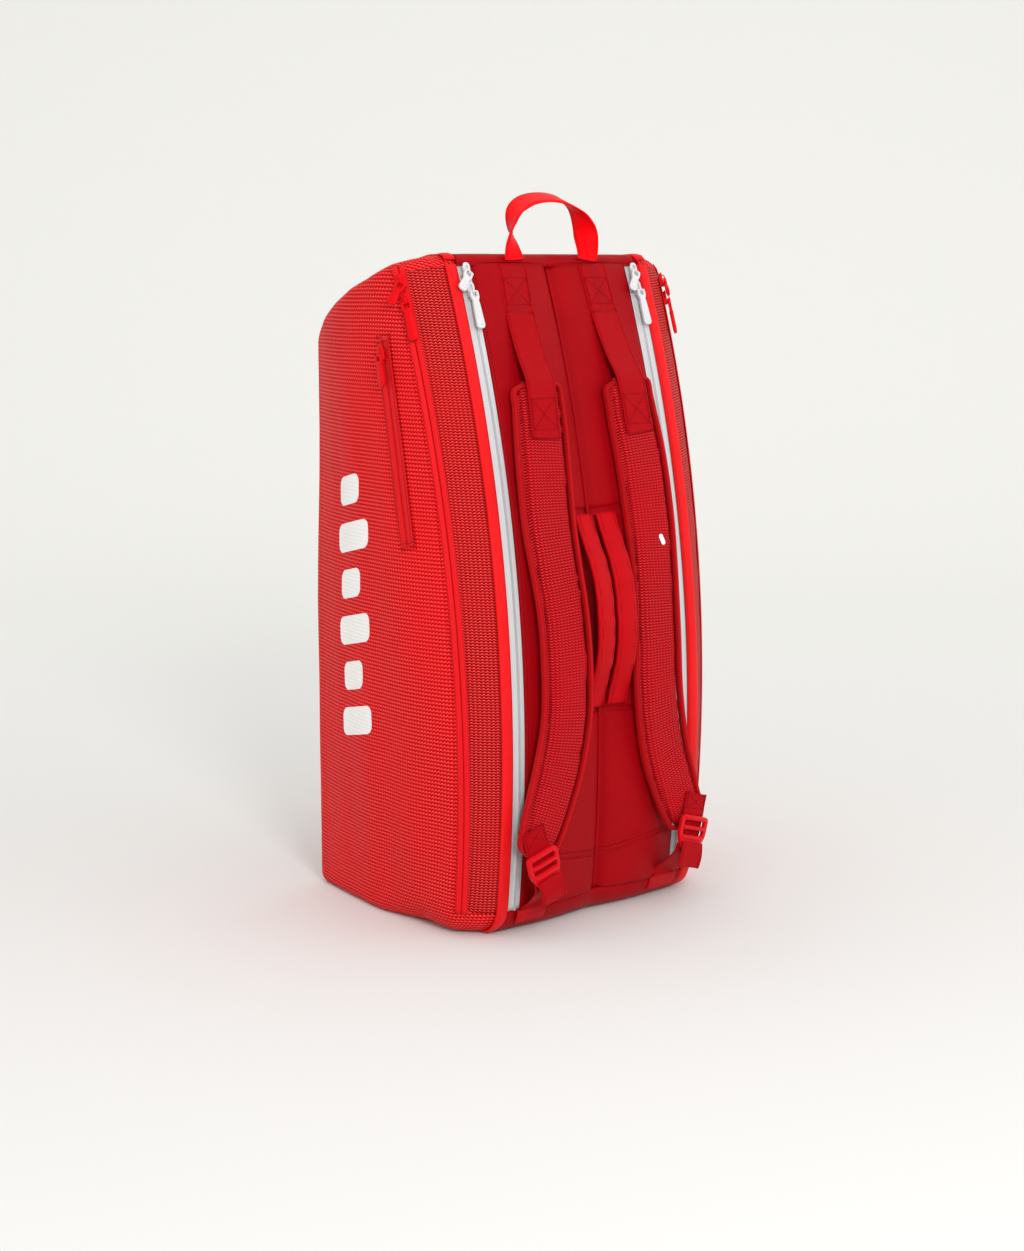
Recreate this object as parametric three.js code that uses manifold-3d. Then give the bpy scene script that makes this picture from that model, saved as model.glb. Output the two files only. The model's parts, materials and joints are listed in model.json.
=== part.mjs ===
// A tall racket bag standing on its flat end: two main compartments and two outer ones, side by side, each with
// its own long zip down the strap side, two padded shoulder straps, two carry handles and a webbing grab loop.
// Millimetres. X runs across the compartments, -Y is the strap side, +Y the flat base, +Z up.
import * as THREE from "three";
import { mergeVertices } from "three/addons/utils/BufferGeometryUtils.js";
import Module from "manifold-3d";

const wasm = await Module();
wasm.setup();
const { Manifold } = wasm;

// ---- driving dimensions ----
const HEIGHT = 752; // standing height of the body
const BASE_Y = 168; // the flat base, away from the straps
const SKIN = 5; // padded fabric wall
const GAP = 0.4; // clearance between neighbouring pieces
const ARC = { y: 1424, z: 200, r: 1585 }; // circle that the zips and the strap side follow
const ARC_LOW = 28; // height where the front strips begin
const ARC_HIGH = 740; // height where they end
const MID_Z = 380; // height that the red zips' flare is counted from
const FLARE = 0.0197; // sideways lean of the red zips, per mm of height
const RED_DROP = 27; // how far the red zips lie behind the white ones
const RED_X = 187.3; // half the distance between the red zips at MID_Z
const WHITE_X = 126; // half the distance between the white zips
const BACK_EDGE = 117; // outer edge of each smooth back panel
const BINDING = { inner: 136.5, outer: 151, proud: 2.5 };
const RED_TAPE = 7; // width of one half of a red zip, measured across
const RED_LEAN = Math.SQRT1_2; // the red zips lie across the corner, half facing front and half facing sideways
const DIVIDER = { base: 112, slope: 31 / 316, thick: 6 }; // the outer dividers lean outwards to the binding
const CENTRE_WALL = 6; // thickness of the centre divider
const BASE_PANEL = { low: 20, high: 628 }; // heights where the base panel meets the two end panels
const SIDE = { base: 160, middle: 206, low: 188, high: 203 }; // half widths of the body
const BODY_RED = "#c4121f";
const SMOOTH_RED = "#b50d1c";
const BRIGHT_RED = "#e0202c";
const WHITE = "#dcdcdc";
const LINING = "#3a3a3c";

// ---- helpers ----
const fabric = (color, roughness = 0.85) => new THREE.MeshStandardMaterial({ color, roughness, metalness: 0 });
const metal = (color) => new THREE.MeshStandardMaterial({ color, roughness: 0.4, metalness: 0.6 });

function solid(geometry, matrix = new THREE.Matrix4()) {
  const bare = geometry.clone().applyMatrix4(matrix);
  bare.deleteAttribute("normal");
  bare.deleteAttribute("uv");
  const merged = mergeVertices(bare, 1e-4);
  const vertProperties = new Float32Array(merged.attributes.position.array);
  const triVerts = new Uint32Array(merged.index.array);
  return new Manifold(new wasm.Mesh({ numProp: 3, vertProperties, triVerts }));
}

function geometryOf(manifold) {
  const mesh = manifold.getMesh();
  const geometry = new THREE.BufferGeometry();
  const position = new Float32Array(mesh.numVert * 3);
  for (let i = 0; i < mesh.numVert; i++) {
    position.set(mesh.vertProperties.subarray(i * mesh.numProp, i * mesh.numProp + 3), i * 3);
  }
  geometry.setAttribute("position", new THREE.BufferAttribute(position, 3));
  geometry.setIndex(new THREE.BufferAttribute(new Uint32Array(mesh.triVerts), 1));
  return geometry;
}

// A closed skin over rings of points, every ring with the same number of points, with flat-fan ends.
// Each ring runs anticlockwise when looked at against the direction that the rings advance in.
function loft(rings) {
  const n = rings[0].length;
  const position = rings.flat(2);
  const index = [];
  for (let k = 0; k + 1 < rings.length; k++) {
    for (let i = 0; i < n; i++) {
      const a = k * n + i;
      const b = k * n + ((i + 1) % n);
      index.push(a, b, b + n, a, b + n, a + n);
    }
  }
  const last = (rings.length - 1) * n;
  for (let i = 0; 2 * i + 2 < n; i++) {
    const left = i;
    const right = n - 1 - i;
    if (left + 1 < right) {
      index.push(left, right, right - 1);
      index.push(last + left, last + right - 1, last + right);
    }
    if (left + 1 < right - 1) {
      index.push(left, right - 1, left + 1);
      index.push(last + left, last + left + 1, last + right - 1);
    }
  }
  const geometry = new THREE.BufferGeometry();
  geometry.setAttribute("position", new THREE.Float32BufferAttribute(position, 3));
  geometry.setIndex(index);
  return geometry;
}

// Turns every face of a closed skin round if it was wound inside out.
function outwards(geometry) {
  if (solid(geometry).volume() > 0) return geometry;
  const index = geometry.index.array;
  for (let i = 0; i < index.length; i += 3) {
    [index[i + 1], index[i + 2]] = [index[i + 2], index[i + 1]];
  }
  return geometry;
}

// Extrudes an outline in the YZ plane along X from x0 to x1.
function acrossX(outline, x0, x1) {
  const shape = new THREE.Shape(outline.map(([y, z]) => new THREE.Vector2(y, z)));
  const geometry = new THREE.ExtrudeGeometry(shape, { depth: x1 - x0, bevelEnabled: false });
  const toRow = new THREE.Matrix4().makeBasis(
    new THREE.Vector3(0, 1, 0), new THREE.Vector3(0, 0, 1), new THREE.Vector3(1, 0, 0),
  );
  geometry.applyMatrix4(toRow);
  return geometry.translate(x0, 0, 0);
}

function box(width, depth, height, x, y, z) {
  return new THREE.BoxGeometry(width, depth, height).translate(x, y, z);
}

const frontY = (z, drop = 0) => ARC.y - Math.sqrt((ARC.r - drop) ** 2 - (z - ARC.z) ** 2);
const arcAngle = (z, r = ARC.r) => Math.asin((z - ARC.z) / r);
const redX = (z) => RED_X + FLARE * (z - MID_Z);

// Part of a ring round the arc's centre, as a YZ outline, between two radii and two heights.
function arcBand(inner, outer, low, high, steps = 9) {
  const from = arcAngle(low);
  const to = arcAngle(high);
  const points = [];
  for (let i = 0; i <= steps; i++) {
    const a = from + ((to - from) * i) / steps;
    points.push([ARC.y - outer * Math.cos(a), ARC.z + outer * Math.sin(a)]);
  }
  for (let i = steps; i >= 0; i--) {
    const a = from + ((to - from) * i) / steps;
    points.push([ARC.y - inner * Math.cos(a), ARC.z + inner * Math.sin(a)]);
  }
  return points.reverse();
}

// ---- the body's outer shape ----
function sideX(z) {
  const t = z < MID_Z ? 1 - z / MID_Z : (z - MID_Z) / (HEIGHT - MID_Z);
  return SIDE.middle - (SIDE.middle - (z < MID_Z ? SIDE.low : SIDE.high)) * t * t;
}

// Half of one cross-section, from the centre seam round the side to the middle of the base.
function halfSection(z) {
  const at = (x, drop) => [x, frontY(z, drop)];
  const r = redX(z);
  const wide = sideX(z);
  const tape = RED_TAPE * RED_LEAN;
  const start = frontY(z) + 90;
  const span = BASE_Y - 8 - start;
  const side = [0, 0.3, 0.55, 0.75, 0.9].map((t) => [
    SIDE.base + (wide - SIDE.base) * (1 - t ** 2.2),
    start + span * t,
  ]);
  return [
    at(0, 2), at(30, -1), at(63, -3), at(100, -1), at(BACK_EDGE, 0), at(WHITE_X, 0),
    at(BINDING.inner, 0), at(BINDING.outer, 2), at((BINDING.outer + r - tape) / 2, 11),
    at(r - tape, RED_DROP - tape), at(r, RED_DROP), at(r + tape, RED_DROP + tape),
    at(Math.max(r + 10, wide - 5), 58),
    ...side, [SIDE.base, BASE_Y - 8], [SIDE.base - 8, BASE_Y], [DIVIDER.base, BASE_Y], [50, BASE_Y], [0, BASE_Y],
  ];
}

// Moves each point of a half section inwards, square to the outline.
function inset(points, by) {
  return points.map(([x, y], i) => {
    const [ax, ay] = points[Math.max(i - 1, 0)];
    const [bx, by_] = points[Math.min(i + 1, points.length - 1)];
    const length = Math.hypot(bx - ax, by_ - ay);
    const nx = -(by_ - ay) / length;
    const ny = (bx - ax) / length;
    return [i === 0 || i === points.length - 1 ? x : x + nx * by, y + ny * by];
  });
}

function wholeRing(z, by) {
  const half = inset(halfSection(z), by);
  const left = half.map(([x, y]) => [-x, y, z]).slice(1, -1);
  const right = half.map(([x, y]) => [x, y, z]);
  return [...right, ...left.reverse()];
}

const END_LEVELS = [[0, 16], [6, 8], [16, 3], [30, 0]];
const TOP_LEVELS = [[738, 0], [747, 4], [753, 10]];
const MIDDLE_LEVELS = [90, 160, 230, 300, 370, 440, 510, 580, 640, 700].map((z) => [z, 0]);
const LEVELS = [...END_LEVELS, ...MIDDLE_LEVELS, ...TOP_LEVELS];
const TOP_PROFILE = [
  [BASE_Y, 650], [163, 667], [150, 680], [125, 696], [90, 714], [50, 733], [10, 747], [-20, HEIGHT], [-230, HEIGHT],
];

// The body's outer shape drawn in by a distance all round, with its underside at the given height.
function lump(by, floor) {
  const body = solid(loft(LEVELS.map(([z, corner]) => wholeRing(z, corner + by))));
  const lid = TOP_PROFILE.map(([y, z]) => [y - by * 0.6, z - by]);
  const behind = BASE_Y + 40;
  const profile = [[-230, floor], [behind, floor], [behind, TOP_PROFILE[0][1] - by], ...lid];
  return body.intersect(solid(acrossX(profile, -260, 260)));
}

const outer = lump(0, -1);
const inner = lump(SKIN, SKIN);
const shell = outer.subtract(inner);

// ---- cutting regions ----
const FAR = 300;
const WIDE = 600;
function frontBand(x0, x1, depth = 12, ends = 0) {
  const outline = arcBand(ARC.r - depth, ARC.r + 20, ARC_LOW - ends, ARC_HIGH + ends);
  return solid(acrossX(outline, Math.min(x0, x1), Math.max(x0, x1)));
}

// A region along a red zip: its section is a rectangle across the corner, from a to b along the tape.
function redBand(sign, a, b, ends = 0, depth = 9) {
  const steps = 9;
  const rings = [];
  for (let i = 0; i <= steps; i++) {
    const z = ARC_LOW - ends + ((ARC_HIGH - ARC_LOW + 2 * ends) * i) / steps;
    const angle = arcAngle(z);
    const corners = [[a, depth], [b, depth], [b, -7], [a, -7]].map(([along, inward]) => {
      const x = redX(z) + (along - inward) * RED_LEAN;
      const r = ARC.r - RED_DROP - (along + inward) * RED_LEAN;
      return [sign * x, ARC.y - r * Math.cos(angle), ARC.z + r * Math.sin(angle)];
    });
    rings.push(sign > 0 ? corners.reverse() : corners);
  }
  return solid(outwards(loft(rings)));
}

// A slab between two leaning planes: x = base + slope * (BASE_Y - y), shifted outwards by from and to.
function leaningSlab(sign, from, to) {
  const x = (y, shift) => sign * (DIVIDER.base + DIVIDER.slope * (BASE_Y - y) + shift);
  const corners = [[-260, from], [-260, to], [260, to], [260, from]];
  const shape = new THREE.Shape(corners.map(([y, shift]) => new THREE.Vector2(x(y, shift), y)));
  return solid(new THREE.ExtrudeGeometry(shape, { depth: 900, bevelEnabled: false }).translate(0, 0, -50));
}
const allFront = frontBand(-BINDING.outer, BINDING.outer, 12, GAP)
  .add(redBand(1, -60, RED_TAPE + GAP, GAP, 12))
  .add(redBand(-1, -60, RED_TAPE + GAP, GAP, 12))
  .add(frontBand(BINDING.outer - 1, BINDING.outer + 14, 24, GAP))
  .add(frontBand(-BINDING.outer - 14, 1 - BINDING.outer, 24, GAP));
const underFront = frontBand(-BINDING.outer - 2, BINDING.outer + 2, SKIN + GAP + 1, GAP);

// ---- named pieces ----
const bag = new THREE.Group();
function piece(name, geometry, material, parent = bag) {
  const mesh = new THREE.Mesh(geometry, material);
  mesh.name = name;
  parent.add(mesh);
  return mesh;
}
const keep = (name, manifold, material) => piece(name, geometryOf(manifold), material);
const SIDES = [["left", -1], ["right", 1]];

function centreBox() {
  const middle = leaningSlab(1, -FAR, -GAP).intersect(leaningSlab(-1, -FAR, -GAP));
  const rest = shell.subtract(allFront).intersect(middle);
  const zoneHeight = BASE_PANEL.high - BASE_PANEL.low;
  const zoneMiddle = (BASE_PANEL.high + BASE_PANEL.low) / 2;
  const baseZone = solid(box(WIDE, 60, zoneHeight, 0, BASE_Y, zoneMiddle));
  keep("base_panel", rest.intersect(baseZone), fabric(BODY_RED));
  const ends = rest.subtract(solid(box(WIDE, 61, zoneHeight + 2 * GAP, 0, BASE_Y, zoneMiddle)));
  keep("top_end_panel", ends.intersect(solid(box(WIDE, WIDE, HEIGHT, 0, 0, HEIGHT))), fabric(SMOOTH_RED));
  keep("bottom_end_panel", ends.intersect(solid(box(WIDE, WIDE, HEIGHT, 0, 0, -HEIGHT / 4))), fabric(SMOOTH_RED));
  const wall = solid(box(CENTRE_WALL, WIDE, 2 * HEIGHT, 0, 0, 0));
  keep("centre_divider", lump(SKIN + GAP, SKIN + GAP).intersect(wall), fabric(LINING));
}

function backPanels() {
  for (const [side, sign] of SIDES) {
    const strip = frontBand(sign * GAP, sign * BACK_EDGE);
    keep(`${side}_back_panel`, shell.intersect(strip), fabric(SMOOTH_RED));
    const inside = frontBand(sign * (BACK_EDGE + GAP), sign * (WHITE_X - GAP / 2));
    keep(`${side}_white_zip_inner_tape`, shell.intersect(inside), fabric(WHITE, 0.6));
  }
}

function wings() {
  for (const [side, sign] of SIDES) {
    const outside = frontBand(sign * (WHITE_X + GAP / 2), sign * (BINDING.inner - GAP));
    keep(`${side}_white_zip_outer_tape`, shell.intersect(outside), fabric(WHITE, 0.6));
    const edge = acrossX(arcBand(ARC.r - SKIN, ARC.r + BINDING.proud, ARC_LOW, ARC_HIGH),
      Math.min(sign * BINDING.inner, sign * BINDING.outer), Math.max(sign * BINDING.inner, sign * BINDING.outer));
    keep(`${side}_binding`, solid(edge), fabric(BRIGHT_RED, 0.7));
    const slab = leaningSlab(sign, GAP, DIVIDER.thick);
    keep(`${side}_divider`, outer.intersect(slab).subtract(underFront), fabric(LINING));
    const innerTape = shell.intersect(redBand(sign, -RED_TAPE, -GAP / 2));
    keep(`${side}_red_zip_inner_tape`, innerTape, fabric(BRIGHT_RED, 0.7));
    const gusset = shell
      .intersect(frontBand(sign * (BINDING.outer + GAP), sign * (BINDING.outer + 60), 60))
      .intersect(redBand(sign, -90, -RED_TAPE - GAP, 0, 40));
    keep(`${side}_gusset`, gusset, fabric(BODY_RED));
  }
}

function covers() {
  for (const [side, sign] of SIDES) {
    const outside = leaningSlab(sign, DIVIDER.thick + GAP, FAR);
    keep(`${side}_side_panel`, shell.subtract(allFront).intersect(outside), fabric(BODY_RED));
    keep(`${side}_red_zip_outer_tape`, shell.intersect(redBand(sign, GAP / 2, RED_TAPE)), fabric(BRIGHT_RED, 0.7));
  }
}

// A flat band that follows points. Each stop is [x, y, z, width, thickness] with the way its width runs; its
// thickness is square to that and to the path. bevel trims the four long edges, and halved adds an edge down the
// middle of both faces, for a band that twists.
function band(stops, across, bevel = 0, halved = false) {
  const points = stops.map(([x, y, z]) => new THREE.Vector3(x, y, z));
  const rings = stops.map(([, , , width, thick], i) => {
    const tangent = points[Math.min(i + 1, points.length - 1)].clone().sub(points[Math.max(i - 1, 0)]).normalize();
    const side = across(i, tangent).clone();
    side.addScaledVector(tangent, -side.dot(tangent)).normalize();
    const up = new THREE.Vector3().crossVectors(tangent, side);
    const w = width / 2;
    const t = thick / 2;
    const corners = bevel
      ? [[-w, 0], [-w + bevel, t], [w - bevel, t], [w, 0], [w - bevel, -t], [-w + bevel, -t]]
      : halved
        ? [[-w, -t], [-w, t], [0, t], [w, t], [w, -t], [0, -t]]
        : [[-w, -t], [-w, t], [w, t], [w, -t]];
    const place = ([a, b]) => points[i].clone().addScaledVector(side, a).addScaledVector(up, b).toArray();
    return corners.reverse().map(place);
  });
  return outwards(loft(rings));
}

const mirrored = (sign, stops) => stops.map(([x, ...rest]) => [sign * x, ...rest]);
const X_AXIS = new THREE.Vector3(1, 0, 0);

// ---- shoulder straps ----
const STRAP = { thick: 11, webbing: 42, webbingThick: 2 };
const PAD_LINE = [ // centre of the pad, right side: x, y, z, width
  [68, -119, 619, 46], [68.5, -122, 607, 66], [70, -130, 570, 74], [74, -141, 520, 76], [76, -152, 460, 75],
  [74, -162, 410, 72], [71, -170, 365, 71], [69.5, -175, 315, 72], [71, -178, 250, 72], [82, -177, 190, 72],
  [102, -177, 134, 66], [114, -177, 106, 56], [121, -176, 90, 38],
];
const BUCKLE = { x: 115, y: -190, z: 84, width: 44, height: 40, thick: 6, lean: 16 };

function straps() {
  for (const [side, sign] of SIDES) {
    const pad = PAD_LINE.map(([x, y, z, width]) => [x, y, z, width, STRAP.thick]);
    piece(`${side}_strap_pad`, band(mirrored(sign, pad), () => X_AXIS, 4), fabric(BODY_RED));
    const w = STRAP.webbing;
    const t = STRAP.webbingThick;
    const fixed = [740, 714, 688].map((z) => [60 + (740 - z) * 0.07, frontY(z) - 4.5, z, w, t]);
    piece(`${side}_anchor_webbing`, band(mirrored(sign, fixed), () => X_AXIS), fabric(SMOOTH_RED, 0.7));
    const free = [
      [64, frontY(686) - 5, 686, w, t], [65, -103, 660, w, t], [66.5, -119, 634, w, t], [68, -128.5, 618, w, t],
      [69, -132, 600, w, t], [70.4, -138.5, 570, w, t], [71.5, -142.5, 552, w, t],
    ];
    piece(`${side}_strap_webbing`, band(mirrored(sign, free), () => X_AXIS), fabric(SMOOTH_RED, 0.7));
  }
}

function buckleShape() {
  const { width: w, height: h } = BUCKLE;
  const outline = new THREE.Shape([
    [-w / 2, h / 2], [-w / 2, -h * 0.1], [-w * 0.3, -h / 2], [w * 0.3, -h / 2], [w / 2, -h * 0.1], [w / 2, h / 2],
  ].map(([x, y]) => new THREE.Vector2(x, y)));
  for (const [low, high] of [[8, 14], [-3, 3]]) {
    const half = w / 2 - 5;
    outline.holes.push(new THREE.Path([
      [-half, low], [half, low], [half, high], [-half, high],
    ].map(([x, y]) => new THREE.Vector2(x, y))));
  }
  return new THREE.ExtrudeGeometry(outline, { depth: BUCKLE.thick, bevelEnabled: false })
    .translate(0, 0, -BUCKLE.thick / 2)
    .rotateX(Math.PI / 2);
}

function strapFittings() {
  for (const [side, sign] of SIDES) {
    const lean = THREE.MathUtils.degToRad(BUCKLE.lean) * sign;
    const down = new THREE.Vector3(-Math.sin(lean), 0, -Math.cos(lean));
    const right = new THREE.Vector3(Math.cos(lean), 0, -Math.sin(lean));
    const buckle = piece(`${side}_buckle`, buckleShape(), fabric("#d02430", 0.4));
    buckle.position.set(sign * BUCKLE.x, BUCKLE.y, BUCKLE.z);
    buckle.rotation.set(0, lean, 0);
    const centre = buckle.position;
    const at = (along, outward, aside = 0) =>
      centre.clone().addScaledVector(down, along).addScaledVector(right, aside).add(new THREE.Vector3(0, outward, 0));
    const tab = [at(-46, 5), at(-33, 4.5), at(-21.5, 2)].map((p) => [...p.toArray(), 34, 2]);
    piece(`${side}_strap_tab`, band(tab, () => right), fabric(SMOOTH_RED, 0.7));
    const tail = [at(13, -5.5), at(27, -7), at(40, -5)].map((p, i) => [...p.toArray(), 34 + i * 2, 2]);
    piece(`${side}_webbing_tail`, band(tail, () => right), fabric(SMOOTH_RED, 0.7));
    const anchor = new THREE.Vector3(sign * 103, frontY(40) - 5.5, 34);
    const lower = [at(23, 4), at(30, 10), anchor].map((p) => [...p.toArray(), 34, 2]);
    piece(`${side}_lower_webbing`, band(lower, () => right), fabric(SMOOTH_RED, 0.7));
    const sewn = [[28, -2.8], [20, -1.8], [12, 1.2]].map(([z, off]) => [sign * 103, frontY(z) + off, z, 42, 2]);
    piece(`${side}_anchor_tab`, band(sewn, () => X_AXIS), fabric(BRIGHT_RED, 0.7));
  }
}

// ---- handles ----
const LOOP_STEPS = 5; // steps between two stops of the grab loop, so its twist stays gentle

function handles() {
  for (const [side, sign] of SIDES) {
    const lift = [0, 7, 17, 22, 23, 22, 17, 7, 0];
    const stops = lift.map((out, i) => {
      const z = 464 - i * 27;
      return [sign * (17 - out * 0.05), frontY(z) - (i % 8 ? 4.4 : 3.6) - out, z, 27, i % 8 ? 6 : 4];
    });
    const turned = new THREE.Vector3(1, sign * -0.12, 0);
    piece(`${side}_carry_handle`, band(stops, () => turned, 2), fabric(BODY_RED, 0.75));
  }
  const loop = [
    [-55, 0, 745, 0], [-55.5, 2, 760, 20], [-53, 6, 781, 60], [-44, 10, 800, 80], [-26, 12, 811, 88],
    [0, 12, 815, 90], [26, 12, 812, 92], [45, 10, 801, 100], [55, 6, 782, 120], [57, 2, 761, 160], [55, 0, 745, 180],
  ];
  const line = new THREE.CatmullRomCurve3(loop.map(([x, back, z]) => new THREE.Vector3(x, back - 69, z)));
  const count = (loop.length - 1) * LOOP_STEPS;
  const stops = Array.from({ length: count + 1 }, (_, i) => [...line.getPoint(i / count).toArray(), 28, 2]);
  const across = (i) => {
    const from = Math.min(Math.floor(i / LOOP_STEPS), loop.length - 2);
    const degrees = THREE.MathUtils.lerp(loop[from][3], loop[from + 1][3], i / LOOP_STEPS - from);
    const turn = THREE.MathUtils.degToRad(degrees);
    return new THREE.Vector3(Math.cos(turn), Math.sin(turn), 0.4 * Math.sin(turn));
  };
  piece("grab_loop", band(stops, across, 0, true), fabric(BRIGHT_RED, 0.7));
}

// ---- zip sliders and pullers ----
const SLIDER = { width: 10, length: 17, height: 4, bridge: 3 };
const PULLER = { width: 9, length: 42, thick: 3, ring: 9 };

// A slider lies on the zip with its nose up; -Y is away from the bag, and its bridge is a small arch.
function sliderSolid() {
  const body = solid(box(SLIDER.width, SLIDER.height, SLIDER.length, 0, -SLIDER.height / 2 - 1, 0));
  const arch = solid(box(2.4, SLIDER.bridge + 2, 12, 0, -SLIDER.height - 2.2, -1));
  const eye = solid(box(8, 2.4, 5, 0, -EYE.out, -EYE.below));
  return geometryOf(body.add(arch).subtract(eye));
}

// A puller hangs from the eye: a wire ring that passes through it and a moulded tab. Its pivot is its origin.
function pullerSolid(length = PULLER.length) {
  const ring = solid(box(PULLER.width, 1.2, PULLER.ring, 0, 0, 0.8 - PULLER.ring / 2))
    .subtract(solid(box(PULLER.width - 2, 4, PULLER.ring - 3, 0, 0, 0.8 - PULLER.ring / 2)));
  const tab = solid(box(PULLER.width, PULLER.thick, length, 0, 0, 1 - PULLER.ring - length / 2 + 1));
  return geometryOf(ring.add(tab));
}
const EYE = { out: SLIDER.height + 3, below: 3 }; // the puller's pivot, from the middle of the slider's seat

// Puts a slider and its puller on a zip: place gives the slider's frame, and swing turns the puller in its plane.
function slider(name, place, material, swing, length) {
  const frame = new THREE.Group();
  frame.applyMatrix4(place);
  bag.add(frame);
  piece(`${name}_slider`, sliderSolid(), material, frame);
  const hang = new THREE.Group();
  hang.position.set(0, -EYE.out, -EYE.below);
  hang.rotation.y = THREE.MathUtils.degToRad(swing);
  frame.add(hang);
  piece(`${name}_puller`, pullerSolid(length), material, hang);
}

// The frame of a slider on an arc zip: at a height, turned outwards by tip about the zip's own line.
function onArc(sign, x, drop, z, tip, flare) {
  const r = ARC.r - drop;
  const angle = arcAngle(z, r);
  return new THREE.Matrix4()
    .makeTranslation(sign * x, ARC.y, ARC.z)
    .multiply(new THREE.Matrix4().makeRotationY(sign * flare))
    .multiply(new THREE.Matrix4().makeRotationX(-angle))
    .multiply(new THREE.Matrix4().makeTranslation(0, -r, 0))
    .multiply(new THREE.Matrix4().makeRotationZ(sign * tip));
}

function zips() {
  const white = metal(WHITE);
  const red = metal("#c01020");
  for (const [side, sign] of SIDES) {
    const onWhite = (z) => onArc(sign, WHITE_X, 0, z, 0, 0);
    slider(`${side}_white_upper`, onWhite(733), white, sign < 0 ? 38 : 30, 26);
    slider(`${side}_white_lower`, onWhite(712), white, 0, PULLER.length);
    const centreX = RED_X - FLARE * (MID_Z - ARC.z);
    const onRed = (z) => onArc(sign, centreX, RED_DROP - 0.5, z, THREE.MathUtils.degToRad(47), Math.atan(FLARE));
    slider(`${side}_red_upper`, onRed(722), red, 42, 26);
    slider(`${side}_red_lower`, onRed(701), red, 0, PULLER.length);
  }
}

// ---- pocket on the left side panel ----
const POCKET = { top: [-23, 661], bottom: [-66, 436], width: 15 };

// How far out the side panel's skin is at a place on it.
function skinX(y, z) {
  const side = halfSection(z).slice(11, -5);
  const i = side.findIndex(([, next]) => next > y);
  const [x0, y0] = side[i - 1];
  const [x1, y1] = side[i];
  return x0 + ((x1 - x0) * (y - y0)) / (y1 - y0);
}

function pocket() {
  const top = new THREE.Vector3(-skinX(...POCKET.top), ...POCKET.top);
  const bottom = new THREE.Vector3(-skinX(...POCKET.bottom), ...POCKET.bottom);
  const run = bottom.clone().sub(top);
  const up = run.clone().normalize().negate();
  const out = new THREE.Vector3(-1, 0, 0);
  const face = out.clone().addScaledVector(up, -out.dot(up)).normalize();
  const aside = new THREE.Vector3().crossVectors(face, up).normalize();
  const turn = new THREE.Matrix4().makeBasis(aside.clone().negate(), face.clone().negate(), up);
  const middle = top.clone().addScaledVector(run, 0.5).addScaledVector(face, 2.3);
  const strip = box(POCKET.width, 1.6, run.length(), 0, 0, 0).applyMatrix4(turn).translate(...middle.toArray());
  piece("pocket_zip_tape", strip, fabric(BRIGHT_RED, 0.7));
  const seat = top.clone().addScaledVector(up, -16).addScaledVector(face, 2.6);
  slider("pocket", turn.clone().setPosition(seat), metal("#c01020"), 0, 34);
}

centreBox();
backPanels();
wings();
covers();
straps();
strapFittings();
handles();
zips();
pocket();

export default bag;
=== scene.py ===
import bpy, bmesh, math
import numpy as np
import json
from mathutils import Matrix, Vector


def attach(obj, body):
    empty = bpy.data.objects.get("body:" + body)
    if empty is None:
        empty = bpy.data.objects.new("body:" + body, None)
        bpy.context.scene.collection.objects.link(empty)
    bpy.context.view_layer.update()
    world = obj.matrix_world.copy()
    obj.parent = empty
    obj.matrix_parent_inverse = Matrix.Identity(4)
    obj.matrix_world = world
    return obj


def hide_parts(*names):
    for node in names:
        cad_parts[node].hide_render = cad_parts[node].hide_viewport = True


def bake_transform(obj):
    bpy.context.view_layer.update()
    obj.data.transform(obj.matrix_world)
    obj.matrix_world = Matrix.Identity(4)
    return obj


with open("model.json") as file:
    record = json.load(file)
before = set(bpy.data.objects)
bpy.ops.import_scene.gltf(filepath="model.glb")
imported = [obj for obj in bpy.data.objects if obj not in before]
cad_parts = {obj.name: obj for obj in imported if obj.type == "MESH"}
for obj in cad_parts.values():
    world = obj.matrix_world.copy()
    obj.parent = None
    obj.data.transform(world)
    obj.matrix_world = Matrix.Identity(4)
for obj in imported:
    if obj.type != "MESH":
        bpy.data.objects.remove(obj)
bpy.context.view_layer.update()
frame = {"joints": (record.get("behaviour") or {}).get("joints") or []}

sides = (("left", -1), ("right", 1))
gap = 0.0004  # air between neighbouring panels

# body shape
arc = {"y": 1.424, "z": 0.2, "r": 1.585, "low": 0.028, "high": 0.740}
body = {"height": 0.752, "baseY": 0.168, "middleZ": 0.380, "flare": 0.0197, "redDrop": 0.027, "redX": 0.1873,
        "redTape": 0.007, "whiteX": 0.126, "backEdge": 0.117, "bindIn": 0.1365,
        "wallBase": 0.112, "wallSlope": 31 / 316, "wallThick": 0.006,
        "sideBase": 0.1655, "sideMiddle": 0.206, "sideLow": 0.188, "sideHigh": 0.203}
topProfile = [(0.168, 0.650), (0.163, 0.667), (0.150, 0.680), (0.125, 0.696), (0.090, 0.714), (0.050, 0.733),
              (0.010, 0.747), (-0.020, 0.752), (-0.120, 0.752), (-0.230, 0.752)]


def frontY(z, drop=0.0):
    return arc["y"] - np.sqrt((arc["r"] - drop) ** 2 - (z - arc["z"]) ** 2)


def arcAngle(z, drop=0.0):
    return np.arcsin((z - arc["z"]) / (arc["r"] - drop))


def redLine(z):
    return body["redX"] + body["flare"] * (z - body["middleZ"])


def sideWidth(z):
    t = np.where(z < body["middleZ"], 1 - z / body["middleZ"],
                 (z - body["middleZ"]) / (body["height"] - body["middleZ"]))
    end = np.where(z < body["middleZ"], body["sideLow"], body["sideHigh"])
    return body["sideMiddle"] - (body["sideMiddle"] - end) * t * t


def wallX(y):
    return body["wallBase"] + body["wallSlope"] * (body["baseY"] - y)


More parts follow.
